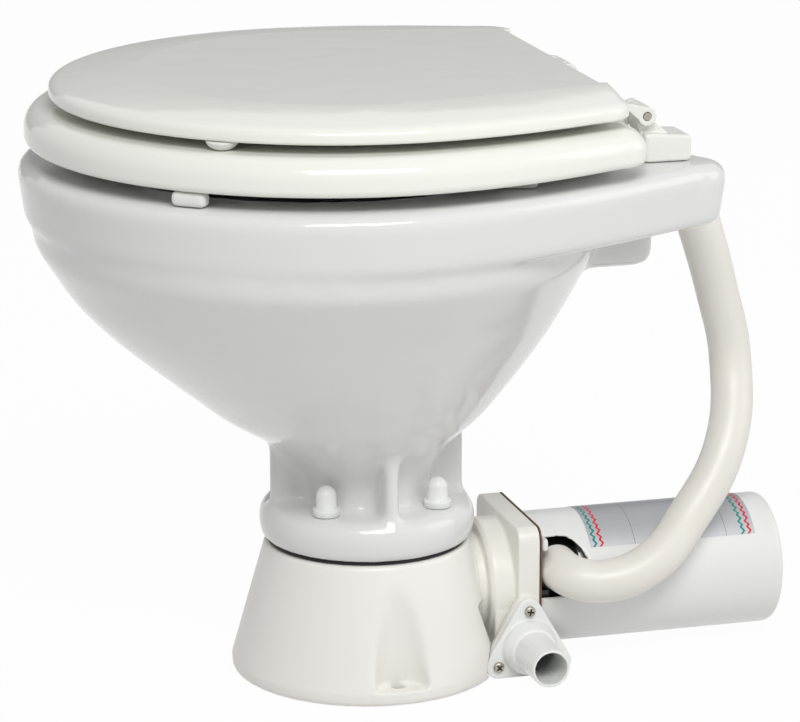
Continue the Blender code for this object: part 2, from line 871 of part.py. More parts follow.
def make_intake_elbow():
    """Bend that leads from the bowl outlet to the eye of the macerator."""
    bend = base_top - base_roof - fit_gap - line_z
    turn = [(0, bend - bend * math.cos(t), line_z + bend - bend * math.sin(t))
            for t in (math.radians(a) for a in (0, 18, 36, 54, 72, 90))]
    end = (0, snout_front_y - fit_gap, line_z)
    pipe("intake_elbow", turn + [end], elbow_outer, elbow_wall, rings=14, smooth_line=False)
    finish("intake_elbow", ivory_plastic, plastic_rough)


def triangle_outline(ear):
    """Three-eared flange outline round the discharge port, as (Y, Z)."""
    places = [(port_y + ear_circle * math.cos(t), port_z + ear_circle * math.sin(t))
              for t in (math.radians(a) for a in (90, 210, 330))]
    outline = []
    for k, place in enumerate(places):
        middle = math.radians(90 + 120 * k)
        outline += arc(place, ear, middle - math.pi / 3, middle + math.pi / 3, 6)
    return outline, places


facing_x = Matrix(((0, 0, 1, 0), (1, 0, 0, 0), (0, 1, 0, 0), (0, 0, 0, 1)))


def make_pump_housing():
    """Macerator housing: snout in the base, collar, square plate, foot and discharge boss."""
    housing = revolve("pump_housing", [
        (0, plate_front_y + plate_thickness / 2),
        (collar_radius, plate_front_y + plate_thickness / 2),
        (collar_radius, collar_front_y + plate_round / 3),
        (collar_radius - plate_round / 3, collar_front_y),
        (snout_radius, collar_front_y),
        (snout_radius, snout_front_y),
        (0, snout_front_y)], axis_of_line, along_y, steps=36)
    plate = box("square_plate", (-plate_half, plate_front_y, line_z - plate_half),
                (plate_half, plate_back_y, line_z + plate_half))
    round_along_y(plate, plate_round)
    fuse(housing, plate)
    fuse(housing, bevel(box("foot_block", (-foot_half_width, foot_front_y, foot_bottom),
                            (foot_half_width, plate_front_y + plate_thickness / 2, line_z)),
                        screw_radius, 2))
    outline, places = triangle_outline(ear_round)
    middle_x = back_plate_face_x - back_plate_depth / 2
    fuse(housing, slab("discharge_boss", [outline], back_plate_depth,
                       Matrix.Translation((middle_x, 0, 0)) @ facing_x))
    cut(housing, rod("pump_chamber", chamber_radius, (0, chamber_start_y, line_z),
                     (0, plate_back_y + plate_round, line_z), 20))
    cut(housing, rod("pump_eye", pump_inlet_radius, (0, snout_front_y - plate_round, line_z),
                     (0, chamber_start_y + plate_round, line_z), 20))
    cut(housing, rod("discharge_port", port_radius, (chamber_radius / 2, port_y, port_z),
                     (back_plate_face_x + plate_round, port_y, port_z), 18))
    cut(housing, rod("valve_recess", valve_disc_radius + fit_gap,
                     (back_plate_face_x - valve_disc_thickness, port_y, port_z),
                     (back_plate_face_x + plate_round, port_y, port_z), 20))
    for k, (y, z) in enumerate(places):
        cut(housing, rod("discharge_thread_%d" % k, screw_hole_radius,
                         (back_plate_face_x - screw_length, y, z),
                         (back_plate_face_x + plate_round, y, z), 8))
    for k, (x, z) in enumerate(pump_screw_places()):
        cut(housing, rod("plate_thread_%d" % k, screw_hole_radius, (x, plate_back_y - screw_length, z),
                         (x, plate_back_y + plate_round, z), 8))
    return finish("pump_housing", ivory_plastic, plastic_rough)


def round_along_y(part, radius, steps=4):
    """Round the four edges of a block that run along Y."""
    mesh = part.data
    bm = bmesh.new()
    bm.from_mesh(mesh)
    edges = [e for e in bm.edges
             if abs((e.verts[0].co - e.verts[1].co).normalized().dot(along_y)) > 1 / 2]
    bmesh.ops.bevel(bm, geom=edges, offset=radius, segments=steps, profile=0.5, affect="EDGES")
    bm.to_mesh(mesh)
    bm.free()
    return part


def pump_screw_places():
    return [(0, line_z + pump_screw_circle), (0, line_z - pump_screw_circle)]


def make_pump_gasket():
    half = plate_half
    corner = plate_round
    outline = []
    for k, (sx, sz) in enumerate(((1, 1), (-1, 1), (-1, -1), (1, -1))):
        outline += arc((sx * (half - corner), sz * (half - corner)), corner,
                       math.pi / 2 * k, math.pi / 2 * (k + 1), 4)
    hole = arc((0, 0), chamber_radius, 0, 2 * math.pi, 24)[:-1]
    holes = [arc((x, z - line_z), screw_hole_radius, 0, 2 * math.pi, 8)[:-1]
             for x, z in pump_screw_places()]
    upright = Matrix(((1, 0, 0, 0), (0, 0, 1, 0), (0, 1, 0, 0), (0, 0, 0, 1)))
    place = Matrix.Translation((0, pump_gasket_y + pump_gasket_thickness / 2, line_z)) @ upright
    gasket = slab("pump_gasket", [outline, hole] + holes, pump_gasket_thickness, place)
    ears, _ = triangle_outline(ear_round + fit_gap)
    cut(gasket, slab("gasket_notch", [ears], 3 * back_plate_depth,
                     Matrix.Translation((back_plate_face_x, 0, 0)) @ facing_x))
    finish("pump_gasket", fibre_brown, rubber_rough)


def make_rinse_pump():
    """Black rinse pump: flanged body with an outlet and an inlet spigot, its cover and shaft seal."""
    chamber_y = rinse_back_y - rinse_chamber_depth
    seal_end = rinse_front_y + shaft_seal_length
    body = revolve("rinse_pump_body", [
        (0, rinse_back_y), (rinse_body_radius, rinse_back_y),
        (rinse_body_radius, rinse_front_y + rinse_flange_thickness),
        (rinse_flange_radius, rinse_front_y + rinse_flange_thickness),
        (rinse_flange_radius, rinse_front_y), (0, rinse_front_y)], axis_of_line, along_y, steps=28)
    reach = hose_radius + fit_gap
    notch_x = rinse_outlet_end_x - hose_cover - fit_gap
    cut(body, box("hose_notch", (notch_x, rinse_front_y - plate_round, rinse_port_z - reach),
                  (rinse_flange_radius + plate_round, rinse_back_y, rinse_port_z + reach)))
    for name, side, end in (("outlet_spigot", 1, rinse_outlet_end_x), ("inlet_spigot", -1, rinse_inlet_end_x)):
        fuse(body, rod(name, rinse_port_radius, (side * rinse_port_start_x, rinse_port_y, rinse_port_z),
                       (side * end, rinse_port_y, rinse_port_z), 16))
    cut(body, revolve("rinse_hollow", [
        (0, rinse_back_y + plate_round), (rinse_chamber_radius, rinse_back_y + plate_round),
        (rinse_chamber_radius, chamber_y), (shaft_radius + fit_gap, chamber_y),
        (shaft_radius + fit_gap, seal_end), (shaft_seal_radius + fit_gap, seal_end),
        (shaft_seal_radius + fit_gap, rinse_front_y - plate_round), (0, rinse_front_y - plate_round)],
        axis_of_line, along_y, steps=24))
    for name, side, end in (("outlet_bore", 1, rinse_outlet_end_x), ("inlet_bore", -1, rinse_inlet_end_x)):
        cut(body, rod(name, rinse_port_bore, (side * rinse_port_start_x / 2, rinse_port_y, rinse_port_z),
                      (side * (end + plate_round), rinse_port_y, rinse_port_z), 14))
    for k, (x, z) in enumerate(pump_screw_places()):
        cut(body, rod("rinse_hole_%d" % k, screw_hole_radius, (x, rinse_front_y - plate_round, z),
                      (x, rinse_front_y + 2 * plate_round, z), 8))
    finish("rinse_pump_body", black_plastic, plastic_rough)

    end = rinse_cover_y + rinse_cover_thickness
    revolve("rinse_pump_cover", [
        (shaft_radius + fit_gap, end), (rinse_body_radius, end), (rinse_body_radius, rinse_cover_y),
        (shaft_radius + fit_gap, rinse_cover_y)], axis_of_line, along_y, steps=28)
    finish("rinse_pump_cover", black_plastic, plastic_rough)
    revolve("shaft_seal", [
        (shaft_radius + fit_gap, seal_end - fit_gap), (shaft_seal_radius, seal_end - fit_gap),
        (shaft_seal_radius, rinse_front_y), (shaft_radius + fit_gap, rinse_front_y)],
        axis_of_line, along_y, steps=16)
    finish("shaft_seal", rubber_black, rubber_rough)


def make_screw(name, seat_point, direction):
    """Pan head screw with a cross slot; the head sits on the point and looks along the direction."""
    head = screw_head_height
    screw = revolve(name, [
        (0, head), (screw_head_radius * screw_crown_share, head - head / 6),
        (screw_head_radius, 0), (screw_radius, 0), (screw_radius, -screw_length + screw_radius),
        (0, -screw_length + screw_radius)], Vector(seat_point) + Vector(direction) * fit_gap,
        Vector(direction), steps=10)
    for k in range(2):
        slot = box("%s_slot_%d" % (name, k), (-screw_slot_length / 2, -screw_slot_width / 2, head - screw_slot_depth),
                   (screw_slot_length / 2, screw_slot_width / 2, 2 * head))
        slot.matrix_world = screw.matrix_world @ Matrix.Rotation(math.pi / 2 * k, 4, "Z") @ slot.matrix_world
        cut(screw, slot)
    return finish(name, steel_grey, metal_rough, 1.0)


def make_discharge():
    """Discharge flange with its hose spigot, the rubber joker valve behind it and three screws."""
    outline, places = triangle_outline(ear_round)
    face_x = back_plate_face_x + fit_gap
    front_x = face_x + flange_plate_thickness
    flange = slab("discharge_flange", [outline], flange_plate_thickness,
                  Matrix.Translation(((face_x + front_x) / 2, 0, 0)) @ facing_x)
    bevel(flange, flange_plate_thickness / 5, 2)
    for k, (y, z) in enumerate(places):
        cut(flange, rod("flange_screw_hole_%d" % k, screw_hole_radius, (face_x - plate_round, y, z),
                        (front_x + plate_round, y, z), 8))
        make_screw("discharge_screw_%d" % (k + 1), (front_x, y, z), along_x)
    centre = Vector((0, port_y, port_z))
    tip_x = front_x + boss_length + spigot_length
    fuse(flange, revolve("spigot_outside", [
        (0, tip_x), (spigot_tip_radius - screw_radius / 3, tip_x),
        (spigot_tip_radius, tip_x - screw_radius / 3),
        (spigot_root_radius, front_x + boss_length),
        (boss_tip_radius, front_x + boss_length),
        (boss_radius, front_x + boss_length / 3),
        (boss_radius, face_x + flange_plate_thickness / 2),
        (0, face_x + flange_plate_thickness / 2)], centre, along_x, steps=24))
    cut(flange, revolve("spigot_bore", [
        (0, tip_x + plate_round), (spigot_bore, tip_x + plate_round),
        (spigot_bore, face_x + valve_seat_depth), (valve_seat_bore, face_x + valve_seat_depth / 2),
        (valve_seat_bore, face_x - plate_round), (0, face_x - plate_round)], centre, along_x, steps=18))
    finish("discharge_flange", outlet_white, plastic_rough)

    disc_x = back_plate_face_x - valve_disc_thickness + fit_gap
    disc_end = disc_x + valve_disc_thickness - fit_gap
    lip_x = disc_end + valve_length
    revolve("joker_valve", [
        (valve_lip_radius - valve_wall, lip_x), (valve_lip_radius, lip_x), (valve_tube_radius, disc_end),
        (valve_disc_radius, disc_end), (valve_disc_radius, disc_x),
        (valve_tube_radius - valve_wall, disc_x)], centre, along_x, steps=20)
    finish("joker_valve", rubber_black, rubber_rough)


def make_motor():
    """Motor cover with its two hose windows, the steel can, its ends, magnets and bearings."""
    front_y = rinse_front_y
    edge = cover_edge_round
    cover = revolve("motor_cover", [
        (0, cover_end_y), (cover_radius - edge, cover_end_y),
        (cover_radius - edge * round_share, cover_end_y - edge * round_share), (cover_radius, cover_end_y - edge),
        (cover_radius, front_y), (cover_inner, front_y),
        (cover_inner, cover_end_y - cover_wall - edge / 2),
        (cover_inner - edge / 2, cover_end_y - cover_wall), (0, cover_end_y - cover_wall)],
        axis_of_line, along_y, steps=44)
    top = line_z + cover_radius * math.sin(window_top_angle)
    bottom = line_z + cover_radius * math.sin(window_bottom_angle)
    for k, side in enumerate((1, -1)):
        low_x, high_x = sorted((side * cover_radius * math.cos(window_top_angle) * window_depth_share,
                                side * (cover_radius + cover_wall)))
        window = box("hose_window_%d" % k, (low_x, front_y - window_length, bottom),
                     (high_x, front_y + window_length, top))
        round_along_x(window, window_round)
        cut(cover, window)
    lug_bottom = rinse_port_z + hose_radius + 2 * fit_gap
    lugs = box("front_lugs", (-plate_half + fit_gap, front_y, lug_bottom),
               (plate_half - fit_gap, front_y + cover_flange_thickness, line_z + cover_radius - edge))
    cut(lugs, rod("lug_bore", cover_inner + fit_gap, (0, front_y - edge, line_z), (0, front_y + 2 * edge, line_z), 44))
    fuse(cover, lugs)
    finish("motor_cover", cover_white, plastic_rough)

    revolve("motor_front_bell", [
        (bearing_radius + fit_gap, bell_y + bell_thickness), (can_radius, bell_y + bell_thickness),
        (can_radius, bell_y), (bearing_radius + fit_gap, bell_y)], axis_of_line, along_y, steps=28)
    finish("motor_front_bell", steel_grey, metal_rough, 1.0)
    can_end = can_y + can_length
    revolve("motor_can", [
        (can_radius - can_wall, can_end), (can_radius, can_end), (can_radius, can_y),
        (can_radius - can_wall, can_y)], axis_of_line, along_y, steps=28)
    finish("motor_can", steel_grey, metal_rough, 1.0)
    cap_end = rear_cap_y + rear_cap_thickness
    revolve("motor_rear_cap", [
        (bearing_radius + fit_gap, cap_end), (can_radius, cap_end), (can_radius, rear_cap_y),
        (bearing_radius + fit_gap, rear_cap_y)], axis_of_line, along_y, steps=28)
    finish("motor_rear_cap", steel_grey, metal_rough, 1.0)

    for name, start in (("front_bearing", bell_y - fit_gap), ("rear_bearing", rear_cap_y - fit_gap)):
        end = start + bearing_length
        revolve(name, [(bearing_bore, end), (bearing_radius, end), (bearing_radius, start + fit_gap),
                       (bearing_bore, start + fit_gap)], axis_of_line, along_y, steps=14)
        finish(name, steel_grey, metal_rough, 1.0)

    outer = can_radius - can_wall - fit_gap
    middle = can_y + can_length / 2
    for k, side in enumerate((0, math.pi)):
        name = "magnet_%d" % (k + 1)
        outline = arc((0, 0), outer, side - magnet_arc / 2, side + magnet_arc / 2, 8)
        outline += arc((0, 0), outer - magnet_thickness, side + magnet_arc / 2, side - magnet_arc / 2, 8)
        upright = Matrix(((1, 0, 0, 0), (0, 0, -1, 0), (0, 1, 0, 0), (0, 0, 0, 1)))
        slab(name, [outline], magnet_length, Matrix.Translation((0, middle, line_z)) @ upright)
        finish(name, magnet_grey, plastic_rough)


def round_along_x(part, radius, steps=5):
    """Round the four edges of a block that run along X."""
    mesh = part.data
    bm = bmesh.new()
    bm.from_mesh(mesh)
    edges = [e for e in bm.edges
             if abs((e.verts[0].co - e.verts[1].co).normalized().dot(along_x)) > 1 / 2]
    bmesh.ops.bevel(bm, geom=edges, offset=radius, segments=steps, profile=0.5, affect="EDGES")
    bm.to_mesh(mesh)
    bm.free()
    return part


def bladed_wheel(name, hub, radius, length, start_y, blades):
    """Hub with straight blades, bored for the shaft."""
    wheel = revolve(name, [
        (shaft_radius + fit_gap, start_y + length), (hub, start_y + length), (hub, start_y),
        (shaft_radius + fit_gap, start_y)], axis_of_line, along_y, steps=14)
    for k in range(blades):
        blade = box("%s_blade_%d" % (name, k), (hub - blade_thickness, start_y, -blade_thickness / 2),
                    (radius, start_y + length, blade_thickness / 2))
        turn = Matrix.Rotation(2 * math.pi * k / blades, 4, "Y")
        blade.matrix_world = Matrix.Translation(axis_of_line) @ turn @ blade.matrix_world
        fuse(wheel, blade)
    return wheel


def make_rotor():
    """Everything on the motor shaft: macerator, rinse impeller, armature and commutator."""
    middle = can_y + can_length / 2
    shaft_end = rear_cap_y + rear_cap_thickness + fit_gap
    members = [rod("motor_shaft", shaft_radius, (0, shaft_front_y, line_z), (0, shaft_end, line_z), 12)]
    finish("motor_shaft", steel_grey, metal_rough, 1.0)
    members.append(bladed_wheel("macerator_impeller", macerator_hub_radius, macerator_radius,
                                macerator_length, chamber_start_y + 2 * blade_thickness, macerator_blades))
    finish("macerator_impeller", steel_grey, metal_rough, 1.0)
    members.append(bladed_wheel("rinse_impeller", rinse_impeller_hub_radius, rinse_impeller_radius,
                                rinse_impeller_length, rinse_back_y - rinse_impeller_length - blade_thickness,
                                rinse_impeller_blades))
    finish("rinse_impeller", rubber_black, rubber_rough)
    start, end = middle - armature_length / 2, middle + armature_length / 2
    armature = revolve("armature", [
        (shaft_radius + fit_gap, end), (armature_radius, end), (armature_radius, start),
        (shaft_radius + fit_gap, start)], axis_of_line, along_y, steps=24)
    for k in range(armature_slots):
        slot = box("armature_slot_%d" % k,
                   (armature_radius - armature_slot_depth, start - armature_slot_depth, -armature_slot_width / 2),
                   (armature_radius + armature_slot_depth, end + armature_slot_depth, armature_slot_width / 2))
        turn = Matrix.Rotation(2 * math.pi * k / armature_slots, 4, "Y")
        slot.matrix_world = Matrix.Translation(axis_of_line) @ turn @ slot.matrix_world
        cut(armature, slot)
    members.append(finish("armature", steel_grey, metal_rough, 1.0))
    start = end + fit_gap
    members.append(revolve("commutator", [
        (shaft_radius + fit_gap, start + commutator_length), (commutator_radius, start + commutator_length),
        (commutator_radius, start), (shaft_radius + fit_gap, start)], axis_of_line, along_y, steps=14))
    finish("commutator", copper_red, metal_rough, 1.0)
    hang("rotor_axis", (0, middle, line_z), members)


def make_pump_screws():
    face_y = rinse_front_y + rinse_flange_thickness
    for k, (x, z) in enumerate(pump_screw_places()):
        make_screw("pump_screw_%d" % (k + 1), (x, face_y, z), along_y)


def spud_route():
    """Inlet elbow line: level out of the bowl, then down and a little back."""
    lean = spud_lean
    level_end = Vector((0, spud_bend_y, spud_z))
    centre = level_end - up * spud_bend
    sweep = math.pi / 2 - lean
    turn = [centre + spud_bend * Vector((0, math.sin(t), math.cos(t)))
            for t in (sweep * k / 4 for k in range(1, 5))]
    down = Vector((0, math.sin(lean), -math.cos(lean)))
    return [Vector((0, spud_root_y, spud_z)), level_end] + turn, turn[-1] + down * spud_leg, down


def make_inlet_elbow():
    route, tip, _ = spud_route()
    elbow = pipe("rinse_elbow", [tuple(p) for p in route + [tip]], spud_radius, spud_radius - spud_bore,
                 rings=12, smooth_line=False)
    finish("rinse_elbow", outlet_white, plastic_rough)
    return elbow


def make_hose():
    """Rinse hose from the pump outlet, round the motor and up to the inlet elbow."""
    route, tip, down = spud_route()
    top = route[-1] + down * 2 * fit_gap
    port = Vector((rinse_outlet_end_x, rinse_port_y, rinse_port_z))
    points = [
        port - along_x * hose_cover,
        port - along_x * hose_cover / 3,
        port + along_x * hose_cover / 2,
        Vector((hose_side_x - hose_bend / 3, rinse_port_y + hose_bend / 3, rinse_port_z - hose_sag / 2)),
        Vector((hose_side_x, rinse_port_y + hose_bend + hose_sag, rinse_port_z - hose_sag)),
        Vector((hose_side_x - fit_gap, hose_low_y, rinse_port_z + hose_low_rise)),
        Vector((hose_lift_x, hose_lift_y, hose_lift_z)),
        Vector((hose_climb_x, hose_climb_y, hose_climb_z)),
        Vector((fit_gap, hose_back_y, hose_mid_z)),
        Vector((0, (hose_back_y + tip.y) / 2 + hose_sag / 2, (hose_mid_z + tip.z) / 2)),
        tip,
        top,
    ]
    flare = [1.0] * (len(points) - 2) + [1.0 + hose_flare_share] * 2
    pipe("rinse_hose", [tuple(p) for p in points], hose_radius, hose_radius - hose_bore, flare,
         rings=12, turn_steps=3)
    finish("rinse_hose", hose_white, plastic_rough)


def side_slab(name, outline, low_x, high_x):
    """Plate across X from an outline given as (Y, Z)."""
    place = Matrix.Translation(((low_x + high_x) / 2, 0, 0)) @ facing_x
    return slab(name, [outline], high_x - low_x, place)


def make_hinge(side, tag):
    """Hinge block on its stud with the nut below, the pin, and the arms of seat and lid."""
    def across(a, b):
        return sorted((side * a, side * b))

    base_z = rim_top + fit_gap
    name = "hinge_block_" + tag
    low_x, high_x = across(block_inner_x, block_outer_x)
    block = side_slab(name, [(block_front_y, base_z), (block_back_y, base_z),
                             (block_back_y, base_z + block_back_height),
                             (block_front_y, base_z + block_height)], low_x, high_x)
    bevel(block, block_round, 2)
    low_x, high_x = across(nose_inner_x, nose_outer_x)
    nose = arc((hinge_y, hinge_z), knuckle_radius, math.radians(-35), math.radians(200), 9)
    nose += [(block_front_y + block_round, base_z + block_height / 2),
             (block_back_y - block_round, base_z + block_back_height / 2)]
    fuse(block, side_slab(name + "_nose", nose, low_x, high_x))
    stud_x = side * (block_inner_x + block_outer_x) / 2
    stud_y = stud_place_y()
    fuse(block, rod(name + "_stud", stud_radius, (stud_x, stud_y, base_z - stud_length),
                    (stud_x, stud_y, base_z + block_back_height / 2), 12))
    ends = across(block_inner_x - knuckle_width, block_outer_x + knuckle_width)
    cut(block, rod(name + "_bore", hinge_pin_radius + fit_gap, (ends[0], hinge_y, hinge_z),
                   (ends[1], hinge_y, hinge_z), 12))
    finish(name, seat_white, plastic_rough)

    name = "hinge_nut_" + tag
    nut_top = rim_top - shelf_thickness - fit_gap
    revolve(name, [
        (stud_radius + fit_gap, nut_top), (nut_radius, nut_top), (nut_radius, nut_top - nut_height / 2),
        (nut_radius * nut_taper_share, nut_top - nut_height), (stud_radius + fit_gap, nut_top - nut_height)],
        (stud_x, stud_y, 0), steps=12)
    finish(name, outlet_white, plastic_rough)

    lid_low, lid_high = across(nose_outer_x + fit_gap, nose_outer_x + fit_gap + knuckle_width)
    seat_low, seat_high = across(nose_inner_x - fit_gap - knuckle_width, nose_inner_x - fit_gap)
    pin_low, pin_high = across(nose_inner_x - fit_gap - knuckle_width, nose_outer_x + fit_gap + knuckle_width)
    name = "hinge_pin_" + tag
    rod(name, hinge_pin_radius, (pin_low, hinge_y, hinge_z), (pin_high, hinge_y, hinge_z), 12)
    finish(name, steel_grey, metal_rough, 1.0)

    name = "lid_arm_" + tag
    arm_top = lid_bottom - fit_gap
    arm_bottom = arm_top - arm_thickness
    knuckle = arc((hinge_y, hinge_z), knuckle_radius, math.radians(-165), math.radians(100), 9)
    lid_arm = side_slab(name, knuckle + [(hinge_y - 2 * knuckle_radius, arm_top),
                                         (lid_back_y - arm_reach, arm_top),
                                         (lid_back_y - arm_reach, arm_bottom),
                                         (hinge_y - 2 * knuckle_radius, arm_bottom)], lid_low, lid_high)
    pad_low, pad_high = across(nose_outer_x + knuckle_width - arm_pad_width, nose_outer_x + knuckle_width)
    fuse(lid_arm, box(name + "_pad", (pad_low, lid_back_y - arm_reach + fit_gap, arm_bottom + fit_gap),
                      (pad_high, lid_back_y - arm_reach / 3, arm_top - fit_gap)))
    cut(lid_arm, rod(name + "_bore", hinge_pin_radius + fit_gap, (lid_low - block_round, hinge_y, hinge_z),
                     (lid_high + block_round, hinge_y, hinge_z), 12))
    lid_arm = finish(name, seat_white, gloss_rough)

    name = "seat_arm_" + tag
    foot_top = seat_bottom - fit_gap
    foot_bottom_z = foot_top - arm_thickness
    web_y = seat_back_y + fit_gap
    knuckle = arc((hinge_y, hinge_z), knuckle_radius, math.radians(-90), math.radians(180), 8)
    seat_arm = side_slab(name, knuckle + [
        (web_y, hinge_z - knuckle_radius), (web_y, foot_top),
        (seat_back_y - arm_reach, foot_top), (seat_back_y - arm_reach, foot_bottom_z),
        (web_y + arm_thickness, foot_bottom_z),
        (block_front_y - hinge_pin_radius, base_z + block_height)], seat_low, seat_high)
    pad_low, pad_high = across(nose_inner_x - fit_gap - arm_pad_width, nose_inner_x - 2 * fit_gap)
    fuse(seat_arm, box(name + "_pad", (pad_low, seat_back_y - arm_reach + fit_gap, foot_bottom_z + fit_gap),
                       (pad_high, seat_back_y - arm_reach / 3, foot_top - fit_gap)))
    cut(seat_arm, rod(name + "_bore", hinge_pin_radius + fit_gap, (seat_low - block_round, hinge_y, hinge_z),
                      (seat_high + block_round, hinge_y, hinge_z), 12))
    seat_arm = finish(name, seat_white, gloss_rough)
    return seat_arm, lid_arm


def make_seat():
    """Open-centred seat ring with rounded edges."""
    def outside(inset):
        return pan_outline(seat_half_width - inset, seat_front - inset, seat_widest_y, seat_back_y - inset,
                           seat_back_half_width - inset, seat_corner, seat_taper_power, seat_steps)

    count = len(outside(0))

    def inside(outset):
        ring = oval(0, (seat_hole_back_y + seat_hole_centre_y - seat_hole_front) / 2,
                    (seat_hole_back_y - seat_hole_centre_y + seat_hole_front) / 2 + outset,
                    seat_hole_half_width + outset, count)
        return [(x, y) for x, y, _ in ring]

    edge = seat_thickness / 3
    middle = edge * round_share
    rings = [(outside(seat_foot_round * round_share), 0), (outside(0), seat_foot_round)]
    rings += [(outside(seat_top_round * inset), seat_thickness - seat_top_round * (1 - lift))
              for inset, lift in seat_round_shares]
    rings += [(inside(edge), seat_thickness), (inside(middle), seat_thickness - middle),
             (inside(0), seat_thickness - edge), (inside(0), edge / 2), (inside(middle), 0)]
    loft("seat", [at_height(ring, seat_bottom + h) for ring, h in rings], closed=True)
    return finish("seat", seat_white, gloss_rough)


def make_lid():
    """Solid lid: flat middle that runs out to the back edge, sloping border at front and sides."""
    def outside(inset, back_inset):
        return pan_outline(lid_half_width - inset, lid_front - inset, lid_widest_y, lid_back_y - back_inset,
                           lid_back_half_width - inset, lid_corner, lid_taper_power, seat_steps)

    flat = pan_outline(lid_flat_half_width, lid_flat_front, lid_widest_y, lid_back_y - lid_edge / 3,
                       lid_flat_back_half_width, lid_flat_corner, lid_flat_taper_power, seat_steps)
    step = lid_edge / 4
    slope = lid_thickness - lid_edge
    shoulder = outside(3 * step, step)
    crown = [(x + (flat_x - x) / 2, y + (flat_y - y) / 2) for (x, y), (flat_x, flat_y) in zip(shoulder, flat)]
    rings = [(outside(step, step), 0), (outside(0, 0), step), (outside(0, 0), lid_edge - 2 * step),
             (outside(step, step / 3), lid_edge - step / 2), (shoulder, lid_edge + slope / 5),
             (crown, lid_edge + slope * lid_crown_share), (flat, lid_thickness)]
    lid = loft("lid", [at_height(ring, lid_bottom + h) for ring, h in rings])
    recess = box("hinge_recess", (-lid_recess_half_width, lid_back_y - lid_recess_depth, lid_bottom - lid_edge),
                 (lid_recess_half_width, lid_back_y + lid_recess_depth, lid_top + lid_edge))
    cut(lid, recess)
    return finish("lid", seat_white, gloss_rough)


def make_buffers():
    """Rubber buffers under the seat and under the lid."""
    seat_buffers, lid_buffers = [], []
    low, high = rim_top + fit_gap, seat_bottom - fit_gap
    for k, (x, y) in enumerate((seat_buffer_front, seat_buffer_back)):
        for tag, side in (("left", 1), ("right", -1)):
            name = "seat_buffer_%s_%s" % (("front", "back")[k], tag)
            half = Vector((seat_buffer_width, seat_buffer_length, 0)) / 2
            buffer = box(name, Vector((side * x, y, low)) - half, Vector((side * x, y, high)) + half)
            turn = Matrix.Rotation(side * (front_buffer_turn, back_buffer_turn)[k], 4, "Z")
            centre = Matrix.Translation(buffer.matrix_world.translation)
            buffer.matrix_world = centre @ turn
            bevel(buffer, (high - low) / 3, 2)
            seat_buffers.append(finish(name, rubber_white, rubber_rough))
    low, high = seat_top + fit_gap, lid_bottom - fit_gap
    for tag, side in (("left", 1), ("right", -1)):
        name = "lid_buffer_" + tag
        x, y = lid_buffer_place
        height = high - low
        revolve(name, [(0, high), (lid_buffer_radius, high), (lid_buffer_radius, high - height / 5),
                       (lid_buffer_radius * dome_share, low + height / 3), (lid_buffer_radius / 2, low), (0, low)],
                (side * x, y, 0), steps=14)
        lid_buffers.append(finish(name, rubber_white, rubber_rough))
    return seat_buffers, lid_buffers


make_bowl()
make_bowl_gasket()
make_base()
make_sole_plate()
make_flange_bolts()
make_intake_elbow()
make_pump_housing()
make_pump_gasket()
make_rinse_pump()
make_pump_screws()
make_discharge()
make_motor()
make_rotor()
make_inlet_elbow()
make_hose()
seat_pieces, lid_pieces = [make_seat()], [make_lid()]
for hinge_side, hinge_tag in ((1, "left"), (-1, "right")):
    arm_of_seat, arm_of_lid = make_hinge(hinge_side, hinge_tag)
    seat_pieces.append(arm_of_seat)
    lid_pieces.append(arm_of_lid)
under_seat, under_lid = make_buffers()
hinge_line = (0, hinge_y, hinge_z)
seat_axis = hang("seat_axis", hinge_line, seat_pieces + under_seat)
lid_axis = hang("lid_axis", hinge_line, lid_pieces + under_lid)
lid_axis.parent = seat_axis
lid_axis.matrix_parent_inverse = seat_axis.matrix_world.inverted()
bpy.context.view_layer.update()
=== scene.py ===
import math

import bmesh
import bpy
import numpy as np
from mathutils import Matrix, Vector


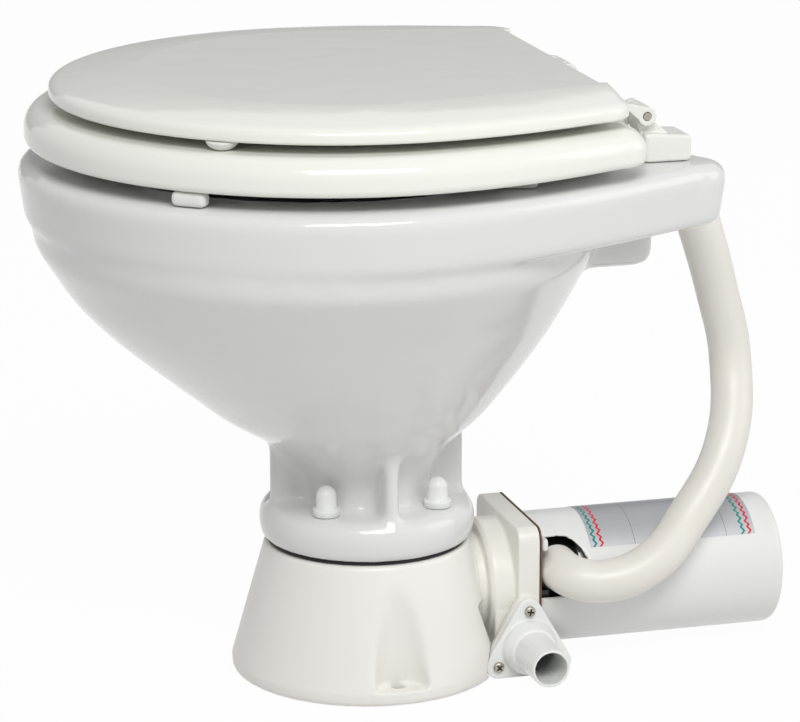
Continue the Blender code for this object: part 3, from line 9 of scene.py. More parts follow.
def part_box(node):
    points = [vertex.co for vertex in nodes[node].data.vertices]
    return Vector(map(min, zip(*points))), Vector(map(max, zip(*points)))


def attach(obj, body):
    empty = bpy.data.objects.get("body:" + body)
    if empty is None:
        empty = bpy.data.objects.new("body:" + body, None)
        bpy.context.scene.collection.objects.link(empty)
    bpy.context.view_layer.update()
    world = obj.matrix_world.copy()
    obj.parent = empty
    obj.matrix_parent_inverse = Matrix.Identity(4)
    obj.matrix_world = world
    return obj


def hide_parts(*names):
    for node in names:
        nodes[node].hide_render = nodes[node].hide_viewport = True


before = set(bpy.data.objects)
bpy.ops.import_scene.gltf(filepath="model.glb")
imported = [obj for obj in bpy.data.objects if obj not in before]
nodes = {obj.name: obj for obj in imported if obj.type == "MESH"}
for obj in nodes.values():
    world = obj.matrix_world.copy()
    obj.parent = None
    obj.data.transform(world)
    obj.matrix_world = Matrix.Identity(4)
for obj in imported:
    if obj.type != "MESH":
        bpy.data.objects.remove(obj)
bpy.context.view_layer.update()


# ---------------------------------------------------------------- Pedestal base
# The base is a hollow moulding in ivory plastic, drawn to a taper, with a flute over each
# floor bolt and a pocket for the pump at the back. A flat plate closes it underneath, and an
# elbow in the same plastic leads from its hollow to the pump.
class Wire:
    """A socket of a node that can be used in sums."""

    def __init__(self, net, socket):
        self.net = net
        self.socket = socket

    def sum(self, operation, first, second):
        return self.net.add("ShaderNodeMath", {"operation": operation}, {0: first, 1: second})

    def __add__(self, other):
        return self.sum("ADD", self, other)

    def __radd__(self, other):
        return self.sum("ADD", other, self)

    def __sub__(self, other):
        return self.sum("SUBTRACT", self, other)

    def __rsub__(self, other):
        return self.sum("SUBTRACT", other, self)

    def __mul__(self, other):
        return self.sum("MULTIPLY", self, other)

    def __rmul__(self, other):
        return self.sum("MULTIPLY", other, self)

    def __truediv__(self, other):
        return self.sum("DIVIDE", self, other)

    def __rtruediv__(self, other):
        return self.sum("DIVIDE", other, self)

    def __lt__(self, other):
        return self.sum("LESS_THAN", self, other)

    def __gt__(self, other):
        return self.sum("GREATER_THAN", self, other)


class Net:
    """The nodes of a material or of the world, all of which come from one method."""

    def __init__(self, tree):
        self.tree = tree

    def add(self, kind, settings, sockets, out=0):
        node = self.tree.nodes.new(kind)
        for name, value in settings.items():
            setattr(node, name, value)
        for key, value in sockets.items():
            if isinstance(value, Wire):
                self.tree.links.new(value.socket, node.inputs[key])
            else:
                node.inputs[key].default_value = value
        return Wire(self, node.outputs[out])


class Finish(Net):
    """A material, with plain values set on its shader."""

    def __init__(self, name, **plain):
        self.material = bpy.data.materials.new(name)
        self.material.use_nodes = True
        super().__init__(self.material.node_tree)
        self.shader = self.tree.nodes["Principled BSDF"]
        for socket, value in plain.items():
            self.shader.inputs[socket.replace("_", " ")].default_value = value
        self.place = self.add("ShaderNodeTexCoord", {}, {}, "Object")

    def feed(self, socket, wire):
        self.tree.links.new(wire.socket, self.shader.inputs[socket])

    def noise(self, scale, detail=3.0):
        return self.add("ShaderNodeTexNoise", {},
                        {"Vector": self.place, "Scale": scale, "Detail": detail})

    def blend(self, share, first, second):
        """Mix of two colours; a Mix node keeps those in its sockets 6 and 7."""
        return self.add("ShaderNodeMix", {"data_type": "RGBA"}, {0: share, 6: first, 7: second}, 2)

    def two_tone(self, share, dark, light):
        self.feed("Base Color", self.blend(share, dark + (1,), light + (1,)))

    def bump(self, height, depth):
        self.feed("Normal", self.add("ShaderNodeBump", {}, {"Height": height, "Distance": depth}))


def moulded(name, colour, rough, mottle=0.03, grain=0.00003):
    """Injection moulded plastic: faint flow mottling, uneven sheen and a fine die grain."""
    finish = Finish(name)
    dark = tuple(c * (1 - 2 * mottle) for c in colour)
    light = tuple(min(1.0, c * (1 + mottle / 2)) for c in colour)
    finish.two_tone(finish.noise(9.0, 4.0), dark, light)
    finish.feed("Roughness", rough * 0.8 + finish.noise(70.0, 2.0) * rough * 0.4)
    finish.bump(finish.noise(1400.0, 2.0) + finish.noise(160.0, 2.0) * 1.5, grain)
    return finish.material


def pick_only(piece):
    """Nothing but this piece is selected and active."""
    bpy.ops.object.select_all(action="DESELECT")
    piece.hide_set(False)
    piece.select_set(True)
    bpy.context.view_layer.objects.active = piece


def change(piece, kind, **settings):
    """Adds one modifier and applies it."""
    pick_only(piece)
    modifier = piece.modifiers.new(kind.lower(), kind)
    for name, value in settings.items():
        setattr(modifier, name, value)
    bpy.ops.object.modifier_apply(modifier=modifier.name)


def soften(piece, passes, **where):
    change(piece, "SMOOTH", factor=0.5, iterations=passes, **where)


weld = 0.00001


def fine_copy(node, grain, passes):
    """Softly rounded skin over a copy of a faceted solid."""
    piece = bpy.data.objects.new(node + "_skin", nodes[node].data.copy())
    bpy.context.scene.collection.objects.link(piece)
    pick_only(piece)
    bpy.ops.object.mode_set(mode="EDIT")
    bpy.ops.mesh.select_all(action="SELECT")
    bpy.ops.mesh.remove_doubles(threshold=weld)
    bpy.ops.object.mode_set(mode="OBJECT")
    change(piece, "REMESH", mode="VOXEL", voxel_size=grain, use_smooth_shade=True)
    soften(piece, passes)
    return piece


def points_of(piece):
    spots = np.empty(len(piece.data.vertices) * 3, np.float32)
    piece.data.vertices.foreach_get("co", spots)
    return spots.reshape(-1, 3).astype(float)


def put_points(piece, spots):
    piece.data.vertices.foreach_set("co", spots.astype(np.float32).ravel())
    piece.data.update()


# How far outside a true surface a point may lie and still be brought onto it
snap = 0.0004


def turn_true(piece, origin, axis, profile, slack):
    """Points close to a turned surface, such as those of a facet's middle, are brought onto it.

    The profile's (place along the axis, radius) points give the surface, and slack is how far
    inside it a point may lie."""
    spots = points_of(piece)
    line = np.array(axis, float)
    start = np.array(origin, float)
    along = (spots - start) @ line
    foot = start + np.outer(along, line)
    out = spots - foot
    radius = np.linalg.norm(out, axis=1)
    ideal = np.interp(along, [p[0] for p in profile], [p[1] for p in profile])
    near = ((along > profile[0][0]) & (along < profile[-1][0]) & (radius < ideal + snap)
            & (radius > ideal - slack))
    spots[near] = foot[near] + out[near] * (ideal[near] / radius[near])[:, None]
    put_points(piece, spots)


def dress(piece, material, body, slot, *stands_for):
    """Gives a finished piece its material and body, and hides the solids it stands for. Slot is
    not used.
    """
    piece.data.materials.clear()
    piece.data.materials.append(material)
    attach(piece, body)
    if stands_for:
        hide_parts(*stands_for)


def repaint(material, *names):
    """A solid whose shape is right keeps it and gets the real finish."""
    for name in names:
        nodes[name].data.materials.clear()
        nodes[name].data.materials.append(material)


def melt(piece, share, passes):
    """Softens a piece where share, taken at its points, is above zero."""
    group = piece.vertex_groups.new(name="melt")
    weights = np.clip(share(points_of(piece)), 0, 1)
    for k in np.flatnonzero(weights > 0):
        group.add([int(k)], float(weights[k]), "REPLACE")
    soften(piece, passes, vertex_group="melt")
    piece.vertex_groups.clear()


def between(places, low, low_fade, high, high_fade):
    """Above zero between two limits, reaching one over a fade inside each."""
    return np.minimum((places - low) / low_fade, (high - places) / high_fade)


flute_foot, flute_top, flute_reach, flute_fade = 0.0130, 0.080, 0.045, 0.006


def flute_share(spots):
    """One over the flutes, which lie at both sides, and none over the pump's pocket."""
    beside = np.clip((flute_reach - np.abs(spots[:, 1])) / flute_fade, 0, 1)
    return between(spots[:, 2], flute_foot, 0.012, flute_top, 0.010) * beside


ivory = moulded("ivory_moulding", (0.850, 0.835, 0.790), 0.36, 0.025)
floor_centre, upward = (0, 0, 0), (0, 0, 1)
base_side = [(0.0085, 0.08645), (0.0836, 0.0655)]
base = fine_copy("base", grain=0.0012, passes=8)
turn_true(base, floor_centre, upward, base_side, slack=0.0012)
melt(base, flute_share, 70)
soften(base, 2)
dress(base, ivory, "toilet", "ivory_plastic", "base")
repaint(ivory, "base_plate", "intake_elbow")


# ---------------------------------------------------------------- Pump housing
# The macerator housing is one ivory moulding: a round snout and collar, a thick square plate
# with rounded corners, a foot that slides into the base and a three-eared boss for the outlet.
pump_ivory = moulded("pump_moulding", (0.845, 0.825, 0.770), 0.34, 0.02)
pump_height = 0.049
pump_centre, rearward = (0, 0, pump_height), (0, 1, 0)
collar_side = [(0.0745, 0.0415), (0.0862, 0.0415)]
housing = fine_copy("pump_housing", grain=0.0009, passes=6)
turn_true(housing, pump_centre, rearward, collar_side, slack=0.0008)
dress(housing, pump_ivory, "toilet", "ivory_plastic", "pump_housing")


# ---------------------------------------------------------------- Pump gasket
# A thin sheet of pressed brown fibre seals the plate against the rinse pump; only its edge
# and its corners show, behind the plate.
fibre = Finish("pressed_fibre", Roughness=0.85)
fibre.two_tone(fibre.noise(420.0, 5.0), (0.09, 0.055, 0.025), (0.22, 0.15, 0.08))
fibre.bump(fibre.noise(900.0, 4.0), 0.0001)
repaint(fibre.material, "pump_gasket")


# ---------------------------------------------------------------- Rubber parts
# Moulded black rubber: the one-way valve in the outlet, the shaft seal and the soft rinse
# impeller. The sheet under the bowl is of the same rubber.
rubber = Finish("black_rubber", Specular_IOR_Level=0.3)
rubber.two_tone(rubber.noise(60.0, 3.0), (0.010, 0.010, 0.011), (0.030, 0.029, 0.028))
rubber.feed("Roughness", 0.55 + rubber.noise(240.0) * 0.25)
rubber.bump(rubber.noise(1100.0, 3.0), 0.00005)
repaint(rubber.material, "joker_valve", "shaft_seal", "rinse_impeller")


# ---------------------------------------------------------------- Rinse pump
# The flushing pump behind the plate is moulded in black plastic, with a spigot on each side,
# and shows through the window in the motor cover.
pump_black = moulded("black_moulding", (0.022, 0.022, 0.024), 0.42, 0.2, 0.00005)
repaint(pump_black, "rinse_pump_body", "rinse_pump_cover")


# ---------------------------------------------------------------- Bowl
# The bowl is slip-cast porcelain under a clear white glaze: a box rim with an ear for each
# hinge, a deep oval pan, a neck with four webs and a round foot flange, all in one firing.
def glazed(name, colour, rough, wave):
    """Glossy skin over a white body: long soft waves, faint clouding and a few dull spots."""
    finish = Finish(name)
    cool = (colour[0] * 0.975, colour[1] * 0.98, colour[2] * 0.985)
    finish.two_tone(finish.noise(6.0, 3.0), cool, colour)
    finish.feed("Roughness", rough + finish.noise(35.0, 4.0) * rough * 0.5)
    finish.bump(finish.noise(26.0, 1.0) + finish.noise(300.0, 2.0) * 0.04, wave)
    return finish.material


# Height, place of the middle, half length and half width of ovals round the pan's outside
pan_rings = [
    (0.108, 0.0, 0.0390, 0.0390), (0.128, 0.0, 0.0405, 0.0405), (0.138, 0.0, 0.0445, 0.0445),
    (0.146, -0.0015, 0.0510, 0.0510), (0.156, -0.0048, 0.0630, 0.0625),
    (0.170, -0.0094, 0.0819, 0.0800), (0.190, -0.0141, 0.1031, 0.0982),
    (0.210, -0.0191, 0.1229, 0.1152), (0.229, -0.0239, 0.1401, 0.1310),
    (0.248, -0.0279, 0.1543, 0.1466), (0.268, -0.0303, 0.1659, 0.1644),
    (0.285, -0.0315, 0.1745, 0.1780), (0.304, -0.0318, 0.1765, 0.1800)]
pan_wall = 0.0088
mouth_rings = [(0.300, -0.033, 0.138, 0.143), (0.340, -0.033, 0.138, 0.143)]
flange_side = [(0.0890, 0.0667), (0.1006, 0.0685), (0.1125, 0.0665)]
tiny = 1e-6


def smooth_line(heights, knots, values):
    """Values at heights along a smooth curve through the knots."""
    slopes = np.gradient(values, knots)
    k = np.clip(np.searchsorted(knots, heights) - 1, 0, len(knots) - 2)
    gap = knots[k + 1] - knots[k]
    t = np.clip((heights - knots[k]) / gap, 0, 1)
    return ((2 * t ** 3 - 3 * t ** 2 + 1) * values[k]
            + (t ** 3 - 2 * t ** 2 + t) * gap * slopes[k]
            + (3 * t ** 2 - 2 * t ** 3) * values[k + 1]
            + (t ** 3 - t ** 2) * gap * slopes[k + 1])


def oval_true(piece, rings, low, high, slack, inset=0.0):
    """Points close to an oval surface, or to its inner wall, are brought onto it."""
    spots = points_of(piece)
    table = np.array(rings)
    knots = table[:, 0]
    middle, length, width = (smooth_line(spots[:, 2], knots, table[:, k]) for k in (1, 2, 3))
    length, width = length - inset, width - inset
    across, fore = spots[:, 0], spots[:, 1] - middle
    share = np.hypot(across / width, fore / length)
    radius = np.hypot(across, fore)
    depth = radius * (1 / np.maximum(share, tiny) - 1)
    near = (spots[:, 2] > low) & (spots[:, 2] < high) & (depth > -snap) & (depth < slack)
    spots[near, 0] = across[near] / share[near]
    spots[near, 1] = middle[near] + fore[near] / share[near]
    put_points(piece, spots)


rim_foot, rim_draft, rim_draft_height = 0.301, 0.0035, 0.027
rim_round_foot, rim_round = 0.328, 0.009
rim_half_width, rim_front, rim_forward = 0.188, 0.1935, 0.022
rim_side_length, rim_side_power, rim_back_half_width = 0.202, 1.5, 0.1125
rim_low, rim_high, ear_start = 0.3005, 0.3345, 0.176


def rim_true(piece, slack):
    """Points close to the rim's upright wall are brought onto its smooth outline."""
    spots = points_of(piece)
    height = spots[:, 2]
    inset = rim_draft * (1 - np.clip((height - rim_foot) / rim_draft_height, 0, 1))
    turn = np.clip((height - rim_round_foot) / rim_round, 0, 0.99)
    inset += rim_round * (1 - np.sqrt(1 - turn ** 2))
    width, front = rim_half_width - inset, rim_front - inset
    fore = spots[:, 1] + rim_forward
    share = np.hypot(spots[:, 0] / width, fore / front)
    depth = np.hypot(spots[:, 0], fore) * (1 / np.maximum(share, tiny) - 1)
    band = (height > rim_low) & (height < rim_high)
    near = band & (fore < 0) & (depth > -snap) & (depth < slack)
    spots[near, 0] /= share[near]
    spots[near, 1] = fore[near] / share[near] - rim_forward
    reach = np.clip(fore / rim_side_length, 0, 1) ** rim_side_power
    side = width - (width - rim_back_half_width + inset) * reach
    gap = side - np.abs(spots[:, 0])
    near = band & (fore >= 0) & (spots[:, 1] < ear_start) & (gap > -snap) & (gap < slack)
    spots[near, 0] = np.sign(spots[near, 0]) * side[near]
    put_points(piece, spots)


under_rim_half_width, under_rim_half_length, under_rim_forward = 0.1725, 0.1690, 0.031


def under_rim_share(spots):
    """One inside the pan, where its wall runs up to the rim."""
    inside = np.hypot(spots[:, 0] / under_rim_half_width,
                      (spots[:, 1] + under_rim_forward) / under_rim_half_length) < 1
    return between(spots[:, 2], 0.250, 0.012, 0.3015, 0.002) * inside


def rim_joint_share(spots):
    """One where the pan's outside meets the rim."""
    return between(spots[:, 2], 0.284, 0.006, 0.305, 0.005)


porcelain = glazed("glazed_porcelain", (0.745, 0.745, 0.735), 0.10, 0.0006)
foot_top, foot_bore, foot_drop = 0.0905, 0.054, 0.0009
bowl = fine_copy("bowl", grain=0.0029, passes=3)
rim_true(bowl, slack=0.0014)
oval_true(bowl, pan_rings, low=0.118, high=0.2965, slack=0.0016)
oval_true(bowl, pan_rings, low=0.150, high=0.262, slack=0.0018, inset=pan_wall)
oval_true(bowl, mouth_rings, low=0.3065, high=0.3366, slack=0.0014)
melt(bowl, under_rim_share, 30)
turn_true(bowl, floor_centre, upward, flange_side, slack=0.0009)
melt(bowl, rim_joint_share, 14)
spots = points_of(bowl)
foot = (spots[:, 2] < foot_top) & (np.hypot(spots[:, 0], spots[:, 1]) > foot_bore)
spots[foot, 2] -= foot_drop
put_points(bowl, spots)
soften(bowl, 6)
dress(bowl, porcelain, "toilet", "porcelain", "bowl")


# ---------------------------------------------------------------- Bowl gasket
# A sheet of black rubber lies between the bowl's foot and the base and is squeezed by the
# bolts. Its edge stands back a little and shows as a thin dark line.
def skin(name, rings, closed=False):
    """Skin over rings of points: a circle is drawn, then extruded and shaped ring by ring."""
    bpy.ops.object.select_all(action="DESELECT")
    bpy.ops.mesh.primitive_circle_add(vertices=len(rings[0]), radius=1.0)
    piece = bpy.context.object
    piece.name = name
    bpy.ops.object.mode_set(mode="EDIT")
    form = bmesh.from_edit_mesh(piece.data)
    form.verts.layers.int.new("step")
    mark = form.verts.layers.int.new("mark")
    for k, corner in enumerate(form.verts):
        corner[mark] = k
        corner.co = rings[0][k]
    for count, ring in enumerate(rings[1:], 1):
        bpy.ops.mesh.extrude_region_move()
        form = bmesh.from_edit_mesh(piece.data)
        mark = form.verts.layers.int["mark"]
        step = form.verts.layers.int["step"]
        for corner in form.verts:
            if corner.select:
                corner[step] = count
                corner.co = ring[corner[mark]]
    form.verts.ensure_lookup_table()
    for corner in form.verts:
        corner.select = False
    last = len(rings) - 1
    for edge in form.edges:
        ends = {corner[step] for corner in edge.verts}
        edge.select = ends == {0} or ends == {last}
    bmesh.update_edit_mesh(piece.data)
    bpy.ops.mesh.select_mode(type="EDGE")
    if closed:
        bpy.ops.mesh.bridge_edge_loops()
    else:
        for wanted in (0, last):
            form = bmesh.from_edit_mesh(piece.data)
            step = form.verts.layers.int["step"]
            for edge in form.edges:
                edge.select_set({corner[step] for corner in edge.verts} == {wanted})
            bmesh.update_edit_mesh(piece.data)
            bpy.ops.mesh.edge_face_add()
    bpy.ops.mesh.select_mode(type="VERT")
    bpy.ops.mesh.select_all(action="SELECT")
    bpy.ops.mesh.normals_make_consistent(inside=False)
    bpy.ops.object.mode_set(mode="OBJECT")
    return piece


def turned(name, profile, steps=64, closed=False):
    """Turned piece: the profile's (radius, height) points swept round the upright axis."""
    turns = [2 * math.pi * k / steps for k in range(steps)]
    rings = [[Vector((radius * math.cos(t), radius * math.sin(t), height)) for t in turns]
             for radius, height in profile]
    return skin(name, rings, closed)


def smooth_edges(piece, angle=35):
    pick_only(piece)
    bpy.ops.object.shade_smooth_by_angle(angle=math.radians(angle))


bore = min(math.hypot(v.co.x, v.co.y) for v in nodes["bowl_gasket"].data.vertices)
sheet_low, sheet_high = 0.08590, 0.08800
sheet_radius, sheet_flat = 0.0630, 0.0624
sheet_profile = [(bore, sheet_low), (sheet_flat, sheet_low), (sheet_radius, 0.08640),
                 (sheet_radius, 0.08740), (sheet_flat, sheet_high), (bore, sheet_high)]
gasket = turned("foot_gasket", sheet_profile, steps=96, closed=True)
smooth_edges(gasket)
dress(gasket, rubber.material, "toilet", "black_rubber", "bowl_gasket")


# ---------------------------------------------------------------- Flange bolts and caps
# Four bolts clamp the bowl to the base; each stands under a white acorn cap with a round foot,
# moulded in plastic and screwed down by hand.
outlet_white = moulded("white_moulding", (0.840, 0.850, 0.830), 0.30, 0.02)


def arc_points(centre, radius, start, end, steps):
    """Points (across, up) on an arc between two angles in degrees."""
    turns = [math.radians(start + (end - start) * k / steps) for k in range(steps + 1)]
    return [(centre[0] + radius * math.cos(t), centre[1] + radius * math.sin(t)) for t in turns]


def moved_copy(piece, name, shift):
    """Copy of a finished piece with its own mesh, its place in its points."""
    copy = bpy.data.objects.new(name, piece.data.copy())
    copy.data.transform(Matrix.Translation(shift))
    bpy.context.scene.collection.objects.link(copy)
    return copy


# The smallest ring of a turned piece, which its end face closes
pole = 0.0001
cap_foot = 0.1132
brim_radius, brim_round, brim_top = 0.0086, 0.0007, cap_foot + 0.0038
dome_radius, dome_centre = 0.0063, cap_foot + 0.0127
cap_profile = [(0.0034, cap_foot), (0.0083, cap_foot), (brim_radius, cap_foot + 0.0003),
               (brim_radius, brim_top)]
cap_profile += arc_points((0.0079, brim_top), brim_round, 0, 90, 4)
cap_profile += [(0.0070, cap_foot + 0.0046), (0.0065, cap_foot + 0.0053),
                (dome_radius, cap_foot + 0.0125)]
cap_profile += arc_points((0.0, dome_centre), dome_radius, 4, 86, 10)
cap_profile += [(pole, cap_foot + 0.0190)]
cap_model = turned("acorn_cap_1", cap_profile)
smooth_edges(cap_model, 50)
bolt_circle = 0.0510
reach = bolt_circle * math.sqrt(0.5)
cap_names = ("acorn_cap_one", "acorn_cap_2", "acorn_cap_3", "acorn_cap_4")
cap_sides = ((1, 1), (-1, 1), (-1, -1), (1, -1))
for k, (name, (side, fore)) in enumerate(zip(cap_names, cap_sides), 1):
    cap = moved_copy(cap_model, name, (reach * side, reach * fore, 0))
    dress(cap, outlet_white, "toilet", "white_plastic", "bolt_cap_%d" % k)
bpy.data.objects.remove(cap_model)


# ---------------------------------------------------------------- Discharge outlet
# The outlet is a triangular flange with three rounded ears, a stepped boss and a plain tapered
# spigot, moulded in white plastic and held by three screws.
outlet = fine_copy("discharge_flange", grain=0.0006, passes=5)
dress(outlet, outlet_white, "toilet", "white_plastic", "discharge_flange")


# ---------------------------------------------------------------- Screws
# Stainless pan head screws with a cross recess, turned bright, with painted shade laid in the
# recess. The flange bolts and hinge pins are of the same steel.
stainless = Finish("stainless_steel", Metallic=1.0)
stainless.two_tone(stainless.noise(600.0, 3.0), (0.30, 0.27, 0.22), (0.56, 0.53, 0.48))
stainless.feed("Roughness", 0.22 + stainless.noise(900.0, 2.0) * 0.22)
stainless.bump(stainless.noise(2600.0, 2.0), 0.00003)

# Painted shade: a near-black finish for the faces inside the cross recess, where shade falls.
recess_shade_paint = Finish("painted_recess_shade", Metallic=0.6)
recess_shade_paint.two_tone(recess_shade_paint.noise(1500.0, 3.0), (0.03, 0.02, 0.012), (0.11, 0.08, 0.05))
recess_shade_paint.feed("Roughness", 0.5 + recess_shade_paint.noise(900.0) * 0.3)
recess_shade_paint.bump(recess_shade_paint.noise(2600.0, 2.0), 0.00003)

shank_radius, shank_length, head_radius = 0.0016, 0.0080, 0.0035
head_edge, crown_radius, crown_height = 0.0008, 0.0015, 0.0024
recess_radius, recess_level = 0.0023, 0.0023
recess_length, recess_width, recess_height = 0.0044, 0.0011, 0.0026
head_height, recess_below = 0.0022, 0.001


def pan_screw(name, origin, axis, turn):
    """Head and shank in one turned piece, with the cross cut into the crown."""
    profile = [(shank_radius, -shank_length), (shank_radius, 0.0), (0.0034, 0.0),
               (head_radius, 0.0002), (head_radius, head_edge)]
    profile += arc_points((0.0020, head_edge), crown_radius, 0, 80, 6)
    profile += [(0.0010, crown_height), (pole, crown_height)]
    screw = turned(name, profile, steps=40)
    for quarter_turn in (0, 1):
        bpy.ops.object.select_all(action="DESELECT")
        bpy.ops.mesh.primitive_cube_add(size=1.0, location=(0, 0, recess_level))
        slot = bpy.context.object
        slot.scale = (recess_length, recess_width, recess_height)
        slot.rotation_euler = (0, 0, turn + math.pi / 2 * quarter_turn)
        pick_only(slot)
        bpy.ops.object.transform_apply(location=True, rotation=True, scale=True)
        change(screw, "BOOLEAN", operation="DIFFERENCE", object=slot, solver="EXACT")
        bpy.data.objects.remove(slot)
    cross = [face.index for face in screw.data.polygons
             if -recess_below < face.center.z < recess_level
             and math.hypot(face.center.x, face.center.y) < recess_radius]
    lie = Vector(upward).rotation_difference(Vector(axis)).to_matrix().to_4x4()
    screw.data.transform(Matrix.Translation(origin) @ lie)
    smooth_edges(screw)
    return screw, cross


ear_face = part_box("discharge_screw_1")[1].x - head_height
for k in range(1, 4):
    low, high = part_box("discharge_screw_%d" % k)
    centre = (low + high) / 2
    screw, cross = pan_screw("outlet_screw_%d" % k, (ear_face, centre.y, centre.z), (1, 0, 0),
                             turn=0.5 + 0.9 * k)
    dress(screw, stainless.material, "toilet", "stainless", "discharge_screw_%d" % k)
    screw.data.materials.append(recess_shade_paint.material)
    # The faces inside the cross get the painted shade as their second material.
    for face in cross:
        screw.data.polygons[face].material_index = 1
repaint(stainless.material, "pump_screw_1", "pump_screw_2", "flange_bolt_1", "flange_bolt_2",
        "flange_bolt_3", "flange_bolt_4", "hinge_pin_left", "hinge_pin_right")


# ---------------------------------------------------------------- Motor
# Inside the cover: a drawn steel can with stamped ends and ball bearings, two ferrite magnets,
# and a rotor of steel laminations with a copper commutator on a ground shaft.
plated = Finish("plated_steel", Metallic=1.0)
plated.two_tone(plated.noise(45.0, 4.0), (0.40, 0.40, 0.39), (0.60, 0.60, 0.58))
plated.feed("Roughness", 0.28 + plated.noise(220.0) * 0.25)
plated.bump(plated.noise(900.0), 0.00004)
repaint(plated.material, "motor_can", "motor_front_bell", "motor_rear_cap", "front_bearing",
        "rear_bearing", "motor_shaft", "macerator_impeller")

ferrite = Finish("ferrite", Specular_IOR_Level=0.4)
ferrite.two_tone(ferrite.noise(300.0, 5.0), (0.020, 0.020, 0.022), (0.060, 0.060, 0.062))
ferrite.feed("Roughness", 0.60 + ferrite.noise(90.0) * 0.3)
ferrite.bump(ferrite.noise(700.0, 4.0), 0.0001)
repaint(ferrite.material, "magnet_1", "magnet_2")


def rings_along(finish, scale, distortion):
    """Fine bands that follow each other along the motor's shaft."""
    return finish.add("ShaderNodeTexWave", {"wave_type": "BANDS", "bands_direction": "Y"},
                      {"Vector": finish.place, "Scale": scale, "Distortion": distortion})


laminated = Finish("steel_laminations", Metallic=1.0)
sheets = rings_along(laminated, 320.0, 0.3)
laminated.two_tone(sheets, (0.16, 0.15, 0.14), (0.42, 0.41, 0.39))
laminated.feed("Roughness", 0.35 + laminated.noise(120.0) * 0.3)
laminated.bump(sheets, 0.0001)
repaint(laminated.material, "armature")

copper = Finish("turned_copper", Metallic=1.0)
bars = rings_along(copper, 500.0, 1.0)
copper.two_tone(bars, (0.55, 0.24, 0.12), (0.80, 0.42, 0.26))
copper.feed("Roughness", 0.25 + copper.noise(300.0) * 0.25)
copper.bump(bars, 0.00003)
repaint(copper.material, "commutator")


# ---------------------------------------------------------------- Motor cover
# A white tube moulded over the motor, closed and rounded at its rear end, with a window on
# each side for the rinse pump's spigots and square lugs against the pump plate.
cover_white = moulded("cover_moulding", (0.800, 0.802, 0.790), 0.33, 0.015)
cover_radius, cover_bore, cover_front = 0.0425, 0.0403, 0.1040
cover = fine_copy("motor_cover", grain=0.00125, passes=4)
for radius, rear in ((cover_radius, 0.2645), (cover_bore, 0.2600)):
    turn_true(cover, pump_centre, rearward, [(cover_front, radius), (rear, radius)], slack=0.0006)
soften(cover, 1)
dress(cover, cover_white, "toilet", "cover_plastic", "motor_cover")


# ---------------------------------------------------------------- Information band
# A silver foil band wraps over the top of the cover, ruled with two thin lines and edged at
# both ends by a teal and a red zigzag line. It is bare of words.
band_start, band_end = 0.1392, 0.2512
band_low, band_high = 39.0, 141.0
length = band_end - band_start
to_crest = math.radians(90 - band_low) * cover_radius
foil = Finish("silver_foil", Specular_IOR_Level=0.35)
band_map = foil.add("ShaderNodeUVMap", {"uv_map": "band"}, {})
along = foil.add("ShaderNodeSeparateXYZ", {}, {0: band_map})
around = Wire(foil, along.socket.node.outputs[1])


def foil_sum(operation, *terms):
    return foil.add("ShaderNodeMath", {"operation": operation}, dict(enumerate(terms)))


def stroke(centre, half_width):
    """One where the place along the band is within a half width of a line."""
    return foil_sum("ABSOLUTE", along - centre) < half_width


def both_ends(near_place, far_place):
    """A zigzag line near each end of the band."""
    return foil_sum("MAXIMUM", stroke(zigzag + near_place, zigzag_half_width),
                    stroke(zigzag + (length - far_place), zigzag_half_width))


tooth_height, broad_height, broad_shift = 0.0024, 0.0048, 0.0009
zigzag_half_width, rule_half_width = 0.0008, 0.00016
fine_teeth = foil_sum("PINGPONG", around, tooth_height)
broad_teeth = foil_sum("PINGPONG", around + broad_shift, broad_height)
zigzag = fine_teeth * 0.75 + broad_teeth * 0.20 - 0.0013
teal = both_ends(0.0032, 0.0082)
red = both_ends(0.0076, 0.0038)
rule = foil_sum("MAXIMUM", stroke(0.0302, rule_half_width),
                stroke(length - 0.0195, rule_half_width))
# Painted reflection: the silver darkens towards the cover's crest, with a faint random tone.
crest = foil_sum("PINGPONG", around - math.radians(band_low) * cover_radius, to_crest)
sheen = crest / to_crest * 0.8 + foil.noise(30.0, 4.0) * 0.2
silver = foil.blend(sheen, (0.56, 0.57, 0.59, 1), (0.33, 0.34, 0.36, 1))
ruled = foil.blend(rule, silver, (0.16, 0.16, 0.17, 1))
with_teal = foil.blend(teal, ruled, (0.0, 0.25, 0.22, 1))
foil.feed("Base Color", foil.blend(red, with_teal, (0.66, 0.02, 0.04, 1)))
foil.feed("Metallic", (1 - teal) * (1 - red) * (1 - rule) * 0.35)
foil.feed("Roughness", 0.30 + foil.noise(200.0, 3.0) * 0.18)
foil.bump(foil.noise(1200.0, 2.0), 0.00002)

foil_gap, foil_thickness = 0.00006, 0.00012
bpy.ops.object.select_all(action="DESELECT")
bpy.ops.mesh.primitive_grid_add(x_subdivisions=4, y_subdivisions=72, size=1.0)
band = bpy.context.object
band.name = "information_band"
share = points_of(band)[:, :2] + 0.5
turn = np.radians(band_low + (band_high - band_low) * share[:, 1])
map_layer = band.data.uv_layers.new(name="band")
for loop in band.data.loops:
    k = loop.vertex_index
    map_layer.data[loop.index].uv = (share[k, 0] * length, turn[k] * cover_radius)
lift = cover_radius + foil_gap
put_points(band, np.stack([lift * np.cos(turn), band_start + length * share[:, 0],
                           pump_height + lift * np.sin(turn)], 1))
pick_only(band)
bpy.ops.object.mode_set(mode="EDIT")
bpy.ops.mesh.select_all(action="SELECT")
bpy.ops.mesh.normals_make_consistent(inside=False)
bpy.ops.object.mode_set(mode="OBJECT")
change(band, "SOLIDIFY", thickness=foil_thickness, offset=1.0)
smooth_edges(band, 30)
dress(band, foil.material, "toilet", "cover_plastic")


